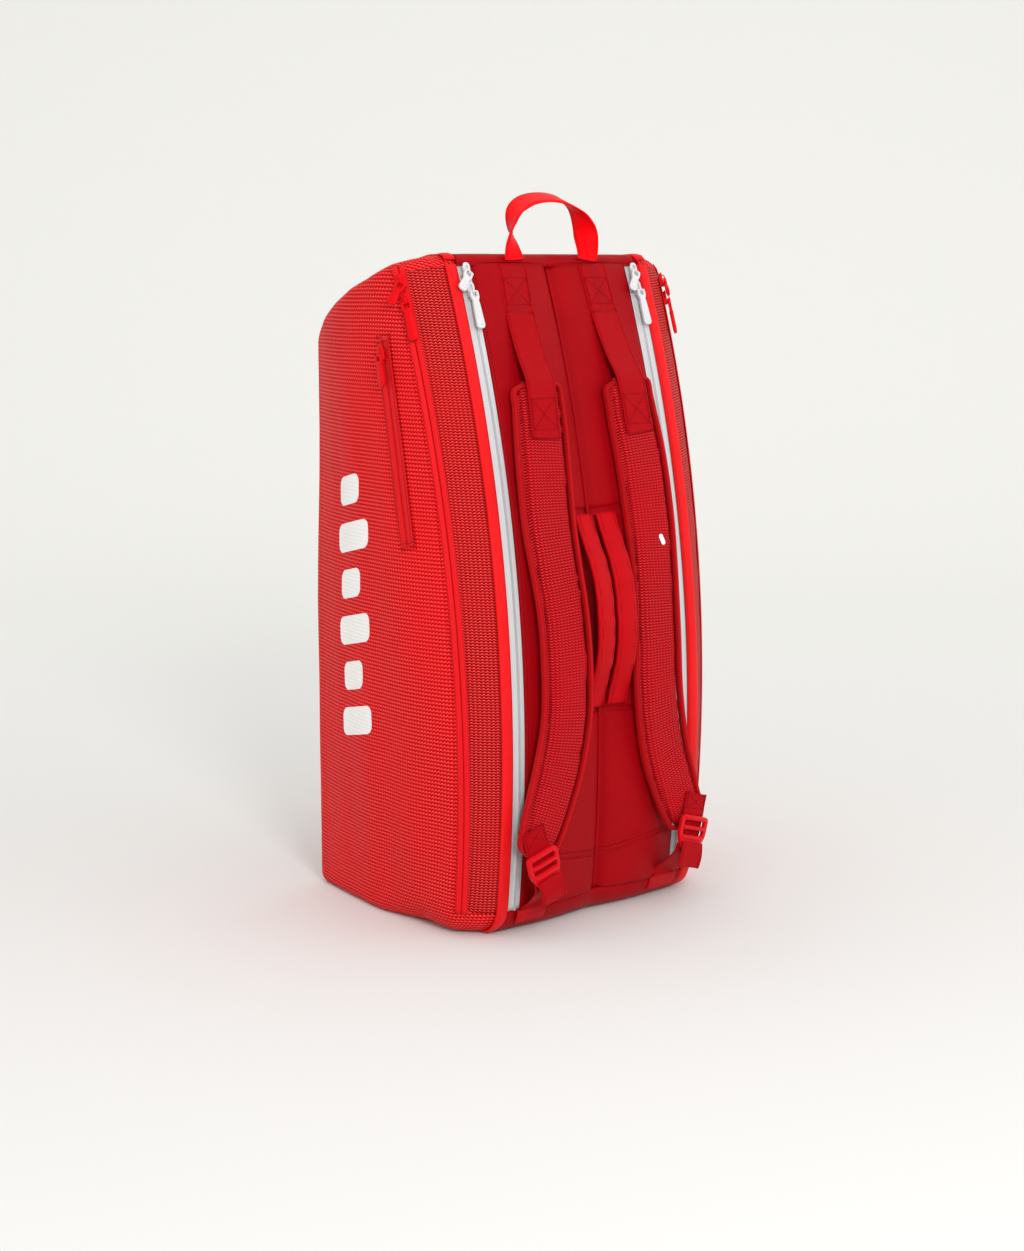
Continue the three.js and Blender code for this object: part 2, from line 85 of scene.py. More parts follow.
def halfSection(z):  # control points of half a cross-section, for an array of heights
    r, wide = redLine(z), sideWidth(z)
    tape = body["redTape"] * math.sqrt(0.5)
    drop = body["redDrop"]
    rear = body["sideBase"] - 0.006 * np.clip((z - 0.35) / 0.2, 0, 1)
    start = frontY(z) + 0.090
    span = body["baseY"] - 0.008 - start
    one = np.ones_like(z)
    pts = [(0 * one, frontY(z, 0.002)), (0.030 * one, frontY(z, -0.0012)), (0.063 * one, frontY(z, -0.003)),
           (0.100 * one, frontY(z, -0.0012)), (0.117 * one, frontY(z)), (0.126 * one, frontY(z)),
           (0.1365 * one, frontY(z)), (0.151 * one, frontY(z, 0.002)),
           ((0.151 + r - tape) / 2, frontY(z, 0.011)),
           (r - tape, frontY(z, drop - tape)), (r, frontY(z, drop)), (r + tape, frontY(z, drop + tape)),
           (np.maximum(r + 0.010, wide - 0.005), frontY(z, 0.058))]
    for t in (0, 0.3, 0.55, 0.75, 0.9):
        pts.append((rear + (wide - rear) * (1 - t ** 2.2), start + span * t))
    pts += [(rear - 0.001, (body["baseY"] - 0.006) * one),
            (rear - 0.008, (body["baseY"] - 0.0005) * one),
            (body["wallBase"] * one, body["baseY"] * one), (0.050 * one, body["baseY"] * one),
            (0 * one, body["baseY"] * one)]
    return np.stack([np.stack([np.broadcast_to(a, z.shape) for a in p], -1) for p in pts], -2)


middleY = 0.010


# how far a point is outside the cross-section at its height, along the ray from its middle
def sectionDistance(x, y, z):
    pts = halfSection(z)
    px, py = pts[..., 0], pts[..., 1] - middleY
    angle, radius = np.arctan2(px, -py), np.hypot(px, py)
    a = np.arctan2(np.abs(x), -(y - middleY))
    k = np.clip((angle <= a[..., None]).sum(-1) - 1, 0, pts.shape[-2] - 2)
    take = lambda arr, i: np.take_along_axis(arr, np.clip(i, 0, pts.shape[-2] - 1)[..., None], -1)[..., 0]
    a0, a1, r0, r1 = take(angle, k), take(angle, k + 1), take(radius, k), take(radius, k + 1)
    before, after = np.where(k > 0, k - 1, 1), np.where(k + 2 < pts.shape[-2], k + 2, pts.shape[-2] - 2)
    ab = np.where(k > 0, take(angle, before), -take(angle, before))
    aa = np.where(k + 2 < pts.shape[-2], take(angle, after), 2 * math.pi - take(angle, after))
    rb, ra = take(radius, before), take(radius, after)
    slope = (r1 - r0) / (a1 - a0)
    s0, s1 = (r0 - rb) / (a0 - ab), (ra - r1) / (aa - a1)
    m0 = np.where(s0 * slope > 0, 2 * s0 * slope / (s0 + slope + 1e-12 * np.sign(slope + 1e-9)), 0)
    m1 = np.where(s1 * slope > 0, 2 * s1 * slope / (s1 + slope + 1e-12 * np.sign(slope + 1e-9)), 0)
    h = a1 - a0
    t = np.clip((a - a0) / h, 0, 1)
    rho = (2 * t ** 3 - 3 * t ** 2 + 1) * r0 + (t ** 3 - 2 * t ** 2 + t) * h * m0 + (3 * t ** 2 - 2
            * t ** 3) * r1 + (t ** 3 - t ** 2) * h * m1
    return np.hypot(x, y - middleY) - rho


profileY = np.array([p[0] for p in topProfile][::-1])
profileZ = np.array([p[1] for p in topProfile][::-1])


def smoothMax(a, b, k):
    h = np.clip(0.5 + 0.5 * (a - b) / k, 0, 1)
    return b * (1 - h) + a * h + k * h * (1 - h)


def outside(p):  # signed distance of sorts from the bag's skin; the ends are rounded
    x, y, z = p[..., 0], p[..., 1], p[..., 2]
    side = sectionDistance(x, y, np.clip(z, 0.0, 0.752))
    wide = np.clip((np.abs(x) - 0.115) / 0.080, 0, 1) ** 1.4
    # the outer top corners hang lower than the middle
    slump = wide * (0.005 + 0.014 * np.clip((y + 0.060) / 0.070, 0, 1))
    top = (z - np.interp(y, profileY, profileZ) + slump) * 0.93
    edge = 0.010 + 0.005 * wide
    # rounder on the strap side
    foot = 0.014 + 0.018 * np.clip((0.010 - y) / 0.060, 0,
                                   1) * (1 + 0.5 * np.clip((np.abs(x) - 0.10) / 0.07, 0, 1))
    return smoothMax(smoothMax(side, top, edge), -z, foot)


def skinHit(origin, direction):  # where rays from inside leave the bag
    direction = direction / np.linalg.norm(direction, axis=-1, keepdims=True)
    low, high = np.zeros(origin.shape[:-1]), np.full(origin.shape[:-1], 1.0)
    for _ in range(26):
        mid = (low + high) / 2
        inside = outside(origin + direction * mid[..., None]) < 0
        low, high = np.where(inside, mid, low), np.where(inside, high, mid)
    return origin + direction * low[..., None]


# mesh helpers
def smoothNoise(p, scale, seed):  # quiet waves for sag and creases
    rng = np.random.default_rng(seed)
    total = np.zeros(p.shape[:-1])
    for _ in range(7):
        w = rng.normal(size=3)
        w *= rng.uniform(0.6, 1.6) * scale / np.linalg.norm(w)
        total += np.sin(p @ w * 2 * math.pi + rng.uniform(0, 6.28)) / 7
    return total


def finishMesh(name, verts, faces, uvs=None, smooth=True):
    mesh = bpy.data.meshes.new(name)
    mesh.from_pydata([tuple(v) for v in verts], [], faces)
    if uvs is not None:
        layer = mesh.uv_layers.new(name="cloth")
        loopVerts = np.zeros(len(mesh.loops), dtype=int)
        mesh.loops.foreach_get("vertex_index", loopVerts)
        layer.data.foreach_set("uv", np.asarray(uvs, dtype=float)[loopVerts].ravel())
    mesh.polygons.foreach_set("use_smooth", [smooth] * len(mesh.polygons))
    obj = bpy.data.objects.new(name, mesh)
    bpy.context.scene.collection.objects.link(obj)
    return obj


def gridFaces(rows, cols, keep=None, closed=False):
    faces = []
    for i in range(rows - 1):
        for j in range(cols if closed else cols - 1):
            if keep is None or keep[i, j]:
                k = (j + 1) % cols
                faces.append((i * cols + j, i * cols + k, (i + 1) * cols + k, (i + 1) * cols + j))
    return faces


def arcLengths(points):  # metres along the rows and columns of a grid
    du = np.linalg.norm(np.diff(points, axis=1), axis=-1)
    dv = np.linalg.norm(np.diff(points, axis=0), axis=-1)
    u = np.concatenate([np.zeros((points.shape[0], 1)), np.cumsum(du, 1)], 1)
    v = np.concatenate([np.zeros((1, points.shape[1])), np.cumsum(dv, 0)], 0)
    return u, v


def applyModifiers(obj):
    graph = bpy.context.evaluated_depsgraph_get()
    mesh = bpy.data.meshes.new_from_object(obj.evaluated_get(graph), depsgraph=graph)
    obj.modifiers.clear()
    old, obj.data = obj.data, mesh
    bpy.data.meshes.remove(old)
    return obj


def faceOut(obj, towards=None):
    bm = bmesh.new()
    bm.from_mesh(obj.data)
    bmesh.ops.remove_doubles(bm, verts=bm.verts, dist=1e-6)
    bmesh.ops.recalc_face_normals(bm, faces=bm.faces)
    if towards is not None:
        best = max(bm.faces, key=lambda f: f.calc_area())
        if best.normal.dot(Vector(towards)) < 0:
            bmesh.ops.reverse_faces(bm, faces=bm.faces)
    bm.to_mesh(obj.data)
    bm.free()
    return obj


def thicken(obj, thickness, inward=True):  # a sheet gets its wall, on its inner side
    mod = obj.modifiers.new("wall", "SOLIDIFY")
    mod.thickness = thickness
    mod.offset = -1 if inward else 0
    mod.use_even_offset = False
    mod.use_rim = True
    for _ in range(2):
        obj.data.materials.append(None)  # outer cloth, then inner
    mod.material_offset = 1
    return applyModifiers(obj)


def sheetGrid(name, points, thickness, towards, keep=None, uvs=None):
    rows, cols = points.shape[:2]
    if uvs is None:
        u, v = arcLengths(points)
        uvs = np.stack([u, v], -1)
    obj = finishMesh(name, points.reshape(-1, 3), gridFaces(rows, cols, keep), uvs.reshape(-1, 2))
    bm = bmesh.new()
    bm.from_mesh(obj.data)
    bmesh.ops.delete(bm, geom=[v for v in bm.verts if not v.link_faces], context="VERTS")
    centre = sum((f.calc_area() for f in bm.faces)) or 1
    mean = sum((f.normal * f.calc_area() for f in bm.faces), Vector()) / centre
    if mean.dot(Vector(towards)) < 0:
        bmesh.ops.reverse_faces(bm, faces=bm.faces)
    bm.to_mesh(obj.data)
    bm.free()
    return thicken(obj, thickness)


def spline(points, count):  # even steps along a smooth curve through points
    pts = np.asarray(points, dtype=float)
    n = len(pts)
    out = []
    for i in range(n - 1):
        p0, p1, p2, p3 = pts[max(i - 1, 0)], pts[i], pts[i + 1], pts[min(i + 2, n - 1)]
        if i == 0:
            p0 = 2 * p1 - p2
        if i + 2 > n - 1:
            p3 = 2 * p2 - p1
        t = np.linspace(0, 1, 24, endpoint=False)[:, None]
        out.append(0.5 * (2 * p1 + (p2 - p0) * t + (2 * p0 - 5 * p1 + 4 * p2 - p3) * t ** 2
                          + (3 * p1 - p0 - 3 * p2 + p3) * t ** 3))
    dense = np.concatenate(out + [pts[-1:]])
    size = dense[:, :3]
    run = np.concatenate([[0], np.cumsum(np.linalg.norm(np.diff(size, axis=0), axis=1))])
    at = np.linspace(0, run[-1], count)
    return np.stack([np.interp(at, run, dense[:, k]) for k in range(dense.shape[1])], -1)


# a profile carried along a path, across gives its width direction
def sweep(name, path, across, section, closedEnds=True):
    path = np.asarray(path, dtype=float)
    n = len(path)
    tangent = np.gradient(path, axis=0)
    tangent /= np.linalg.norm(tangent, axis=1, keepdims=True)
    side = np.array(across, dtype=float)
    side = np.broadcast_to(side, path.shape).copy() if side.ndim == 1 else side
    side -= tangent * (side * tangent).sum(1, keepdims=True)
    side /= np.linalg.norm(side, axis=1, keepdims=True)
    up = np.cross(tangent, side)
    rings = []
    for i in range(n):
        prof = np.asarray(section(i / (n - 1)) if callable(section) else section)
        rings.append(path[i] + prof[:, :1] * side[i] + prof[:, 1:] * up[i])
    m = len(rings[0])
    verts = np.concatenate(rings)
    faces = gridFaces(n, m, closed=True)
    run = np.concatenate([[0], np.cumsum(np.linalg.norm(np.diff(path, axis=0), axis=1))])
    prof = np.asarray(section(0.5) if callable(section) else section)
    around = np.concatenate([[0], np.cumsum(np.linalg.norm(np.diff(prof, axis=0), axis=1))])
    uvs = np.stack([np.tile(around, n), np.repeat(run, m)], -1)
    if closedEnds:
        faces.append(tuple(range(m))[::-1])
        faces.append(tuple(range((n - 1) * m, n * m)))
    return faceOut(finishMesh(name, verts, faces, uvs))


def flatBand(width, thick, edge=4, crown=0.0):  # rounded flat profile: width across, thick up
    pts = []
    w, t = width / 2 - thick / 2, thick / 2
    for k in range(edge + 1):
        a = -math.pi / 2 + math.pi * k / edge
        pts.append((w + t * math.cos(a), t * math.sin(a)))
    for x in np.linspace(w, -w, 7)[1:-1]:
        pts.append((x, t + crown * (1 - (x / w) ** 2)))
    for k in range(edge + 1):
        a = math.pi / 2 + math.pi * k / edge
        pts.append((-w + t * math.cos(a), t * math.sin(a)))
    for x in np.linspace(-w, w, 7)[1:-1]:
        pts.append((x, -t))
    return np.array(pts)


# shader writing
class Flow:  # wraps a shader socket, so a pattern reads as a sum
    def __init__(self, tree, socket=None):
        self.tree, self.socket = tree, socket

    def feed(self, slot, value):
        if isinstance(value, Flow):
            self.tree.links.new(value.socket, slot)
        else:
            slot.default_value = value

    def node(self, kind, settings=None, inputs=None, output=0):
        made = self.tree.nodes.new(kind)
        for key, value in (settings or {}).items():
            if key == "stops":
                for k, (place, color) in enumerate(value):
                    stop = made.color_ramp.elements[k] if k < 2 else made.color_ramp.elements.new(place)
                    stop.position, stop.color = place, color
            else:
                setattr(made, key, value)
        for key, value in (inputs or {}).items():
            self.feed(made.inputs[key], value)
        return Flow(self.tree, made.outputs[output] if made.outputs else None)

    def calc(self, operation, *values):
        return self.node("ShaderNodeMath", {"operation": operation}, dict(enumerate(values)))

    def __add__(self, other):
        return self.calc("ADD", self, other)

    def __sub__(self, other):
        return self.calc("SUBTRACT", self, other)

    def __rsub__(self, other):
        return self.calc("SUBTRACT", other, self)

    def __mul__(self, other):
        return self.calc("MULTIPLY", self, other)

    def __truediv__(self, other):
        return self.calc("DIVIDE", self, other)

    def __lt__(self, other):
        return self.calc("LESS_THAN", self, other)

    def __gt__(self, other):
        return self.calc("GREATER_THAN", self, other)

    __radd__, __rmul__ = __add__, __mul__

    def wave(self):  # 0 to 1, once for each whole number
        return self.calc("SINE", self * (2 * math.pi)) * 0.5 + 0.5

    def zigzag(self):  # 0 to 1 and back in straight lines
        return self.calc("PINGPONG", self, 1.0)

    def size(self):
        return self.calc("ABSOLUTE", self)

    def soften(self, low, high):
        return self.node("ShaderNodeMapRange", {"interpolation_type": "SMOOTHSTEP"},
                         {0: self, 1: low, 2: high})

    def blendColors(self, a, b):  # this socket is how much of b
        return self.node("ShaderNodeMix", {"data_type": "RGBA"}, {0: self, 6: a, 7: b}, output=2)

    def split(self):
        made = self.node("ShaderNodeSeparateXYZ", inputs={0: self})
        return [Flow(self.tree, s) for s in made.socket.node.outputs]


def rgb(r, g, b):  # screen colour to light
    return tuple((c / 255 / 12.92 if c < 10 else ((c / 255 + 0.055) / 1.055) ** 2.4)
                 for c in (r, g, b)) + (1.0,)


def startMaterial(name):
    mat = bpy.data.materials.new(name)
    mat.use_nodes = True
    mat.node_tree.nodes.clear()
    flow = Flow(mat.node_tree)
    where = flow.node("ShaderNodeTexCoord", output=3)
    cloth = flow.node("ShaderNodeUVMap", {"uv_map": "cloth"})
    return mat, flow, where, cloth


def closeMaterial(flow, color, rough, height=None, relief=0.001, strength=1.0, fixed=None):
    inputs = {"Base Color": color, "Roughness": rough}
    inputs.update(fixed or {})
    if height is not None:
        inputs["Normal"] = flow.node("ShaderNodeBump",
                                     inputs={"Height": height, "Distance": relief, "Strength": strength})
    shader = flow.node("ShaderNodeBsdfPrincipled", inputs=inputs)
    flow.node("ShaderNodeOutputMaterial", inputs={"Surface": shader})


clothShine = {"Sheen Weight": 0.05, "Sheen Roughness": 0.4, "Sheen Tint": (1.0, 0.12, 0.12, 1.0),
              "Specular Tint": (1.0, 0.30, 0.28, 1.0)}
greyShine = {"Sheen Weight": 0.05, "Sheen Roughness": 0.4}


def mottle(flow, where, scale, detail=3.0):
    return flow.node("ShaderNodeTexNoise", inputs={"Vector": where, "Scale": scale, "Detail": detail,
                                                   "Roughness": 0.55})


def wovenCloth(name, look):
    # rows of slanted stitches: pitch between rows, step along a row, slant of each one
    mat, flow, where, cloth = startMaterial(name)
    u, v, _ = cloth.split()
    drift = mottle(flow, where, 60.0) * look["drift"]
    bend = (u / look["step"]).zigzag() * look["slant"]
    row = (v + drift * 0.001) / look["pitch"] + bend
    ridge = row.wave()
    dash = (u / look["step"] * look["dash"] + 0.25).wave()
    thread = ridge * (0.62 + dash * 0.38)
    patch = mottle(flow, where, 7.0)
    # thread ridges are painted lighter as a painted highlight and the gaps between threads painted darker as
    # painted shade; the weave pattern itself is the cloth's own
    ridgeHighlight = thread.soften(0.30, 0.95)
    color = ridgeHighlight.blendColors(look["dark"], look["light"])
    color = (patch.soften(0.35, 0.75) * 0.30).blendColors(color, look["worn"])
    if "print" in look:
        color = look["print"](flow, where).blendColors(color, rgb(240, 238, 236))
    rough = look["rough"] + patch * 0.12 - thread * 0.08
    closeMaterial(flow, color, rough, thread, look["relief"], look.get("strength", 0.7),
                  {"Specular IOR Level": 0.10, "Specular Tint": (1.0, 0.30, 0.28, 1.0)})
    return mat


def smoothCloth(name, look):
    mat, flow, where, cloth = startMaterial(name)
    u, v, _ = cloth.split()
    weave = ((u / look["thread"]).wave() + (v / look["thread"]).wave()) * 0.5
    patch = mottle(flow, where, 9.0)
    fold = mottle(flow, where, 34.0, 4.0)
    color = (patch.soften(0.3, 0.8) * 0.5).blendColors(look["deep"], look["light"])
    color = (weave * look["grain"]).blendColors(color, look["shade"])
    rough = look["rough"] + fold * 0.10 + weave * 0.04
    height = weave * 0.25 + fold * look["crease"]
    closeMaterial(flow, color, rough, height, 0.0006, look.get("strength", 0.6),
                  dict(look.get("tint", clothShine), **{"Specular IOR Level": look.get("shine", 0.3)}))
    return mat


def ribbedTape(name, look):  # webbing and bindings: ribs run at a slant to the tape's length
    mat, flow, where, cloth = startMaterial(name)
    u, v, _ = cloth.split()
    rib = ((v + u * look["slant"]) / look["rib"]).wave()
    cross = (u / look["rib"] * 0.5).wave()
    patch = mottle(flow, where, 22.0)
    color = (rib * 0.55 + cross * 0.15).blendColors(look["deep"], look["light"])
    color = (patch.soften(0.35, 0.8) * 0.25).blendColors(color, look["worn"])
    rough = look["rough"] - rib * 0.10 + patch * 0.08
    closeMaterial(flow, color, rough, rib * 0.8 + cross * 0.2, look["relief"], 0.7,
                  dict(clothShine, **{"Specular IOR Level": 0.14}))
    return mat


def zipTape(name, look):  # fine threads, with ribs beside the coil
    mat, flow, where, cloth = startMaterial(name)
    u, v, _ = cloth.split()
    thread = (u / 0.0011).wave()
    weave = (v / 0.0009).wave() * 0.4 + thread * 0.6
    lines = (u / 0.0031 + 0.2).wave().soften(0.78, 0.98)
    patch = mottle(flow, where, 16.0)
    color = (weave * 0.35 + patch * 0.2).blendColors(look["light"], look["deep"])
    color = (lines * 0.35).blendColors(color, look["deep"])
    closeMaterial(flow, color, look["rough"] + weave * 0.1, weave * 0.5 - lines * 0.5, 0.0004, 0.6,
                  dict(look["tint"], **{"Specular IOR Level": 0.35}))
    return mat


def moulded(name, look):  # plastic and lacquered metal
    mat, flow, where, cloth = startMaterial(name)
    patch = mottle(flow, where, 90.0, 4.0)
    scuff = mottle(flow, where, 420.0, 2.0).soften(0.60, 0.75)
    color = (patch * 0.35).blendColors(look["light"], look["deep"])
    color = (scuff * 0.12).blendColors(color, look["worn"])
    closeMaterial(flow, color, look["rough"] + patch * 0.10 + scuff * 0.12, patch, 0.0003, 0.25,
                  dict(look.get("tint", {}), **{"Specular IOR Level": look.get("shine", 0.5)}))
    return mat


def threadCloth(name, look):
    mat, flow, where, cloth = startMaterial(name)
    twist = mottle(flow, where, 900.0, 2.0)
    color = twist.soften(0.3, 0.7).blendColors(look["deep"], look["light"])
    closeMaterial(flow, color, 0.55 + twist * 0.2, twist, 0.0002, 0.5,
                  dict(clothShine, **{"Specular IOR Level": 0.2}))
    return mat


graphic = {"low": 0.196, "bars": 6, "pitch": 0.0535, "half": 0.0165, "middleY": 0.046, "reach": 0.036,
           "round": 0.010,
           "slant": 0.22}


def printedBars(flow, where):  # a plain column of rounded white bars
    x, y, z = where.split()
    along = (z - graphic["low"] + (y - graphic["middleY"]) * graphic["slant"]) / graphic["pitch"]
    cell = (along.calc("FRACT", along) - 0.5) * graphic["pitch"]
    row = along.calc("FLOOR", along)
    odd = along.calc("MODULO", row, 2.0)
    reach = graphic["reach"] - odd * 0.012
    shift = y - graphic["middleY"] - odd * 0.006
    dz = (cell.size() - (graphic["half"] - graphic["round"])).calc("MAXIMUM",
            cell.size() - (graphic["half"] - graphic["round"]), 0.0)
    dyRaw = shift.size() - (reach - graphic["round"])
    dy = dyRaw.calc("MAXIMUM", dyRaw, 0.0)
    far = dz.calc("SQRT", dz * dz + dy * dy)
    inside = far < graphic["round"]
    return inside * (along > 0.0) * (along < float(graphic["bars"])) * (x.size() > 0.17)


# in these weaves "light" is the painted highlight on the thread ridges and "dark" the painted shade in the
# gaps between threads
sideWeave = {"pitch": 0.0043, "step": 0.0023, "slant": 0.34, "dash": 0.5, "drift": 0.4,
             "dark": rgb(184, 0, 10), "light": rgb(255, 74, 72),
             "worn": rgb(234, 16, 26), "rough": 0.52, "relief": 0.0010, "print": printedBars}
meshWeave = {"pitch": 0.0032, "step": 0.0024, "slant": 0.50, "dash": 0.5, "drift": 0.3,
             "dark": rgb(126, 0, 6), "light": rgb(252, 72, 68),
             "worn": rgb(200, 16, 22), "rough": 0.50, "relief": 0.0010}
padWeave = {"pitch": 0.0032, "step": 0.0024, "slant": 0.48, "dash": 0.5, "drift": 0.3, "dark": rgb(128, 0, 8),
            "light": rgb(230, 46, 52),
            "worn": rgb(184, 8, 22), "rough": 0.52, "relief": 0.0010}
materials = {
    "side": wovenCloth("ribbed side cloth", sideWeave),
    "mesh": wovenCloth("zigzag mesh cloth", meshWeave),
    "pad": wovenCloth("zigzag pad cloth", padWeave),
    "smooth": smoothCloth("smooth red cloth", {"thread": 0.0009, "deep": rgb(146, 0, 10),
                                               "light": rgb(172, 0, 13), "shade": rgb(122, 0, 8),
                                               "grain": 0.25, "rough": 0.46, "crease": 0.6, "shine": 0.18}),
    "handle": smoothCloth("handle cloth", {"thread": 0.0009, "deep": rgb(176, 0, 12),
                                           "light": rgb(204, 4, 20), "shade": rgb(150, 0, 8),
                                           "grain": 0.25, "rough": 0.46, "crease": 0.5, "shine": 0.2}),
    "bright": smoothCloth("bright binding cloth", {"thread": 0.0008, "deep": rgb(216, 14, 20),
                                                   "light": rgb(240, 30, 34), "shade": rgb(186, 4, 12),
                                                   "grain": 0.3, "rough": 0.44, "crease": 0.5,
                                                   "shine": 0.35}),
    "twill": ribbedTape("twill edge tape", {"rib": 0.0021, "slant": 0.8, "deep": rgb(150, 0, 10),
                                            "light": rgb(222, 34, 38), "worn": rgb(190, 14, 22),
                                            "rough": 0.50, "relief": 0.0007}),
    "webbing": ribbedTape("woven webbing", {"rib": 0.0013, "slant": 0.0, "deep": rgb(146, 0, 10),
                                            "light": rgb(184, 0, 14), "worn": rgb(166, 0, 12),
                                            "rough": 0.52, "relief": 0.0004}),
    "loop": ribbedTape("bright webbing", {"rib": 0.0013, "slant": 0.0, "deep": rgb(226, 0, 10),
                                          "light": rgb(252, 8, 18), "worn": rgb(238, 4, 14),
                                          "rough": 0.44, "relief": 0.0004}),
    "whiteTape": zipTape("white zip tape", {"light": rgb(212, 213, 215), "deep": rgb(150, 152, 156),
                                            "rough": 0.42, "tint": greyShine}),
    "redTape": zipTape("red zip tape", {"light": rgb(228, 22, 30), "deep": rgb(170, 2, 10), "rough": 0.46,
                                        "tint": clothShine}),
    "whiteCoil": moulded("white coil", {"light": rgb(204, 204, 206), "deep": rgb(156, 157, 161),
                                        "worn": rgb(190, 190, 190), "rough": 0.35}),
    "redCoil": moulded("red coil", {"light": rgb(206, 10, 18), "deep": rgb(150, 0, 8),
                                    "worn": rgb(210, 26, 30), "rough": 0.42, "shine": 0.25,
                                    "tint": clothShine}),
    "whiteMetal": moulded("white lacquer", {"light": rgb(208, 208, 210), "deep": rgb(176, 177, 180),
                                            "worn": rgb(150, 150, 152), "rough": 0.34, "shine": 0.3}),
    "redMetal": moulded("red lacquer", {"light": rgb(216, 4, 14), "deep": rgb(176, 0, 10),
                                        "worn": rgb(220, 40, 44), "rough": 0.36, "shine": 0.25,
                                        "tint": clothShine}),
    "buckle": moulded("moulded red plastic", {"light": rgb(206, 10, 24), "deep": rgb(172, 2, 14),
                                              "worn": rgb(214, 50, 54), "rough": 0.30, "shine": 0.35,
                                              "tint": clothShine}),
    "thread": threadCloth("red thread", {"light": rgb(138, 0, 8), "deep": rgb(84, 0, 4)}),
    "brightThread": threadCloth("bright red thread", {"light": rgb(200, 8, 16), "deep": rgb(150, 0, 8)}),
    "lining": smoothCloth("grey lining", {"thread": 0.0012, "deep": rgb(52, 52, 56), "light": rgb(74, 74, 78),
                                          "shade": rgb(36, 36, 40),
                                          "grain": 0.4, "rough": 0.7, "crease": 0.6, "shine": 0.3,
                                          "tint": greyShine}),
    "whitePatch": moulded("white rubber print", {"light": rgb(240, 239, 237), "deep": rgb(222, 221, 220),
                                                 "worn": rgb(205, 204, 203), "rough": 0.45}),
}
print("materials made")


# a finished piece gets its cloth and its body, and the parts it stands for are hidden
def settle(obj, body, material, slot, *nodes, inside=None):
    if material is not None and inside is not None:
        obj.data.materials[0], obj.data.materials[1] = materials[material], materials[inside]
    elif material is not None:
        obj.data.materials.clear()
        obj.data.materials.append(materials[material])
    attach(obj, body)
    if nodes:
        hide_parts(*nodes)
    return obj


def joined(name, parts):  # several meshes made one, keeping each one's cloth
    mesh = bpy.data.meshes.new(name)
    bm = bmesh.new()
    slots = []
    for part in parts:
        start = len(bm.faces)
        bm.from_mesh(part.data)
        bm.faces.ensure_lookup_table()
        for k, mat in enumerate(part.data.materials):
            if mat not in slots:
                slots.append(mat)
        if slots:
            for face in bm.faces[start:]:
                face.material_index = slots.index(part.data.materials[face.material_index])
        bpy.data.objects.remove(part)
    bm.to_mesh(mesh)
    bm.free()
    for mat in slots:
        mesh.materials.append(mat)
    obj = bpy.data.objects.new(name, mesh)
    bpy.context.scene.collection.objects.link(obj)
    return obj


# rows of stitches and zip teeth
def seedTree():
    tree = bpy.data.node_groups.new("beads along lines", "GeometryNodeTree")
    tree.interface.new_socket("Lines", in_out="INPUT", socket_type="NodeSocketGeometry")
    for label, value in (("Spacing", 0.003), ("Length", 0.0022), ("Width", 0.0007), ("Height", 0.0006)):
        tree.interface.new_socket(label, in_out="INPUT", socket_type="NodeSocketFloat").default_value = value
    tree.interface.new_socket("Material", in_out="INPUT", socket_type="NodeSocketMaterial")
    tree.interface.new_socket("Beads", in_out="OUTPUT", socket_type="NodeSocketGeometry")
    nodes, links = tree.nodes, tree.links

    def add(kind, **settings):
        node = nodes.new(kind)
        for key, value in settings.items():
            setattr(node, key, value)
        return node

    start, end = add("NodeGroupInput"), add("NodeGroupOutput")
    curve, steps = add("GeometryNodeMeshToCurve"), add("GeometryNodeResampleCurve", mode="LENGTH")
    tangent, lift = add("GeometryNodeInputTangent"), add("GeometryNodeInputNamedAttribute",
            data_type="FLOAT_VECTOR")
    lift.inputs["Name"].default_value = "lift"
    along = add("FunctionNodeAlignRotationToVector", axis="X")
    facing = add("FunctionNodeAlignRotationToVector", axis="Z", pivot_axis="X")
    bead = add("GeometryNodeMeshUVSphere")
    for label, value in (("Segments", 6), ("Rings", 4), ("Radius", 0.5)):
        bead.inputs[label].default_value = value
    size, place = add("ShaderNodeCombineXYZ"), add("GeometryNodeInstanceOnPoints")
    real, paint = add("GeometryNodeRealizeInstances"), add("GeometryNodeSetMaterial")
    links.new(start.outputs["Lines"], curve.inputs["Mesh"])
    links.new(curve.outputs["Curve"], steps.inputs["Curve"])
    links.new(start.outputs["Spacing"], steps.inputs["Length"])
    links.new(steps.outputs["Curve"], place.inputs["Points"])
    links.new(bead.outputs["Mesh"], place.inputs["Instance"])
    links.new(tangent.outputs["Tangent"], along.inputs["Vector"])
    links.new(along.outputs["Rotation"], facing.inputs["Rotation"])
    links.new(lift.outputs["Attribute"], facing.inputs["Vector"])
    links.new(facing.outputs["Rotation"], place.inputs["Rotation"])
    for k, label in enumerate(("Length", "Width", "Height")):
        links.new(start.outputs[label], size.inputs[k])
    links.new(size.outputs["Vector"], place.inputs["Scale"])
    links.new(place.outputs["Instances"], real.inputs["Geometry"])
    links.new(real.outputs["Geometry"], paint.inputs["Geometry"])
    links.new(start.outputs["Material"], paint.inputs["Material"])
    links.new(paint.outputs["Geometry"], end.inputs["Beads"])
    return tree


beadTree = seedTree()


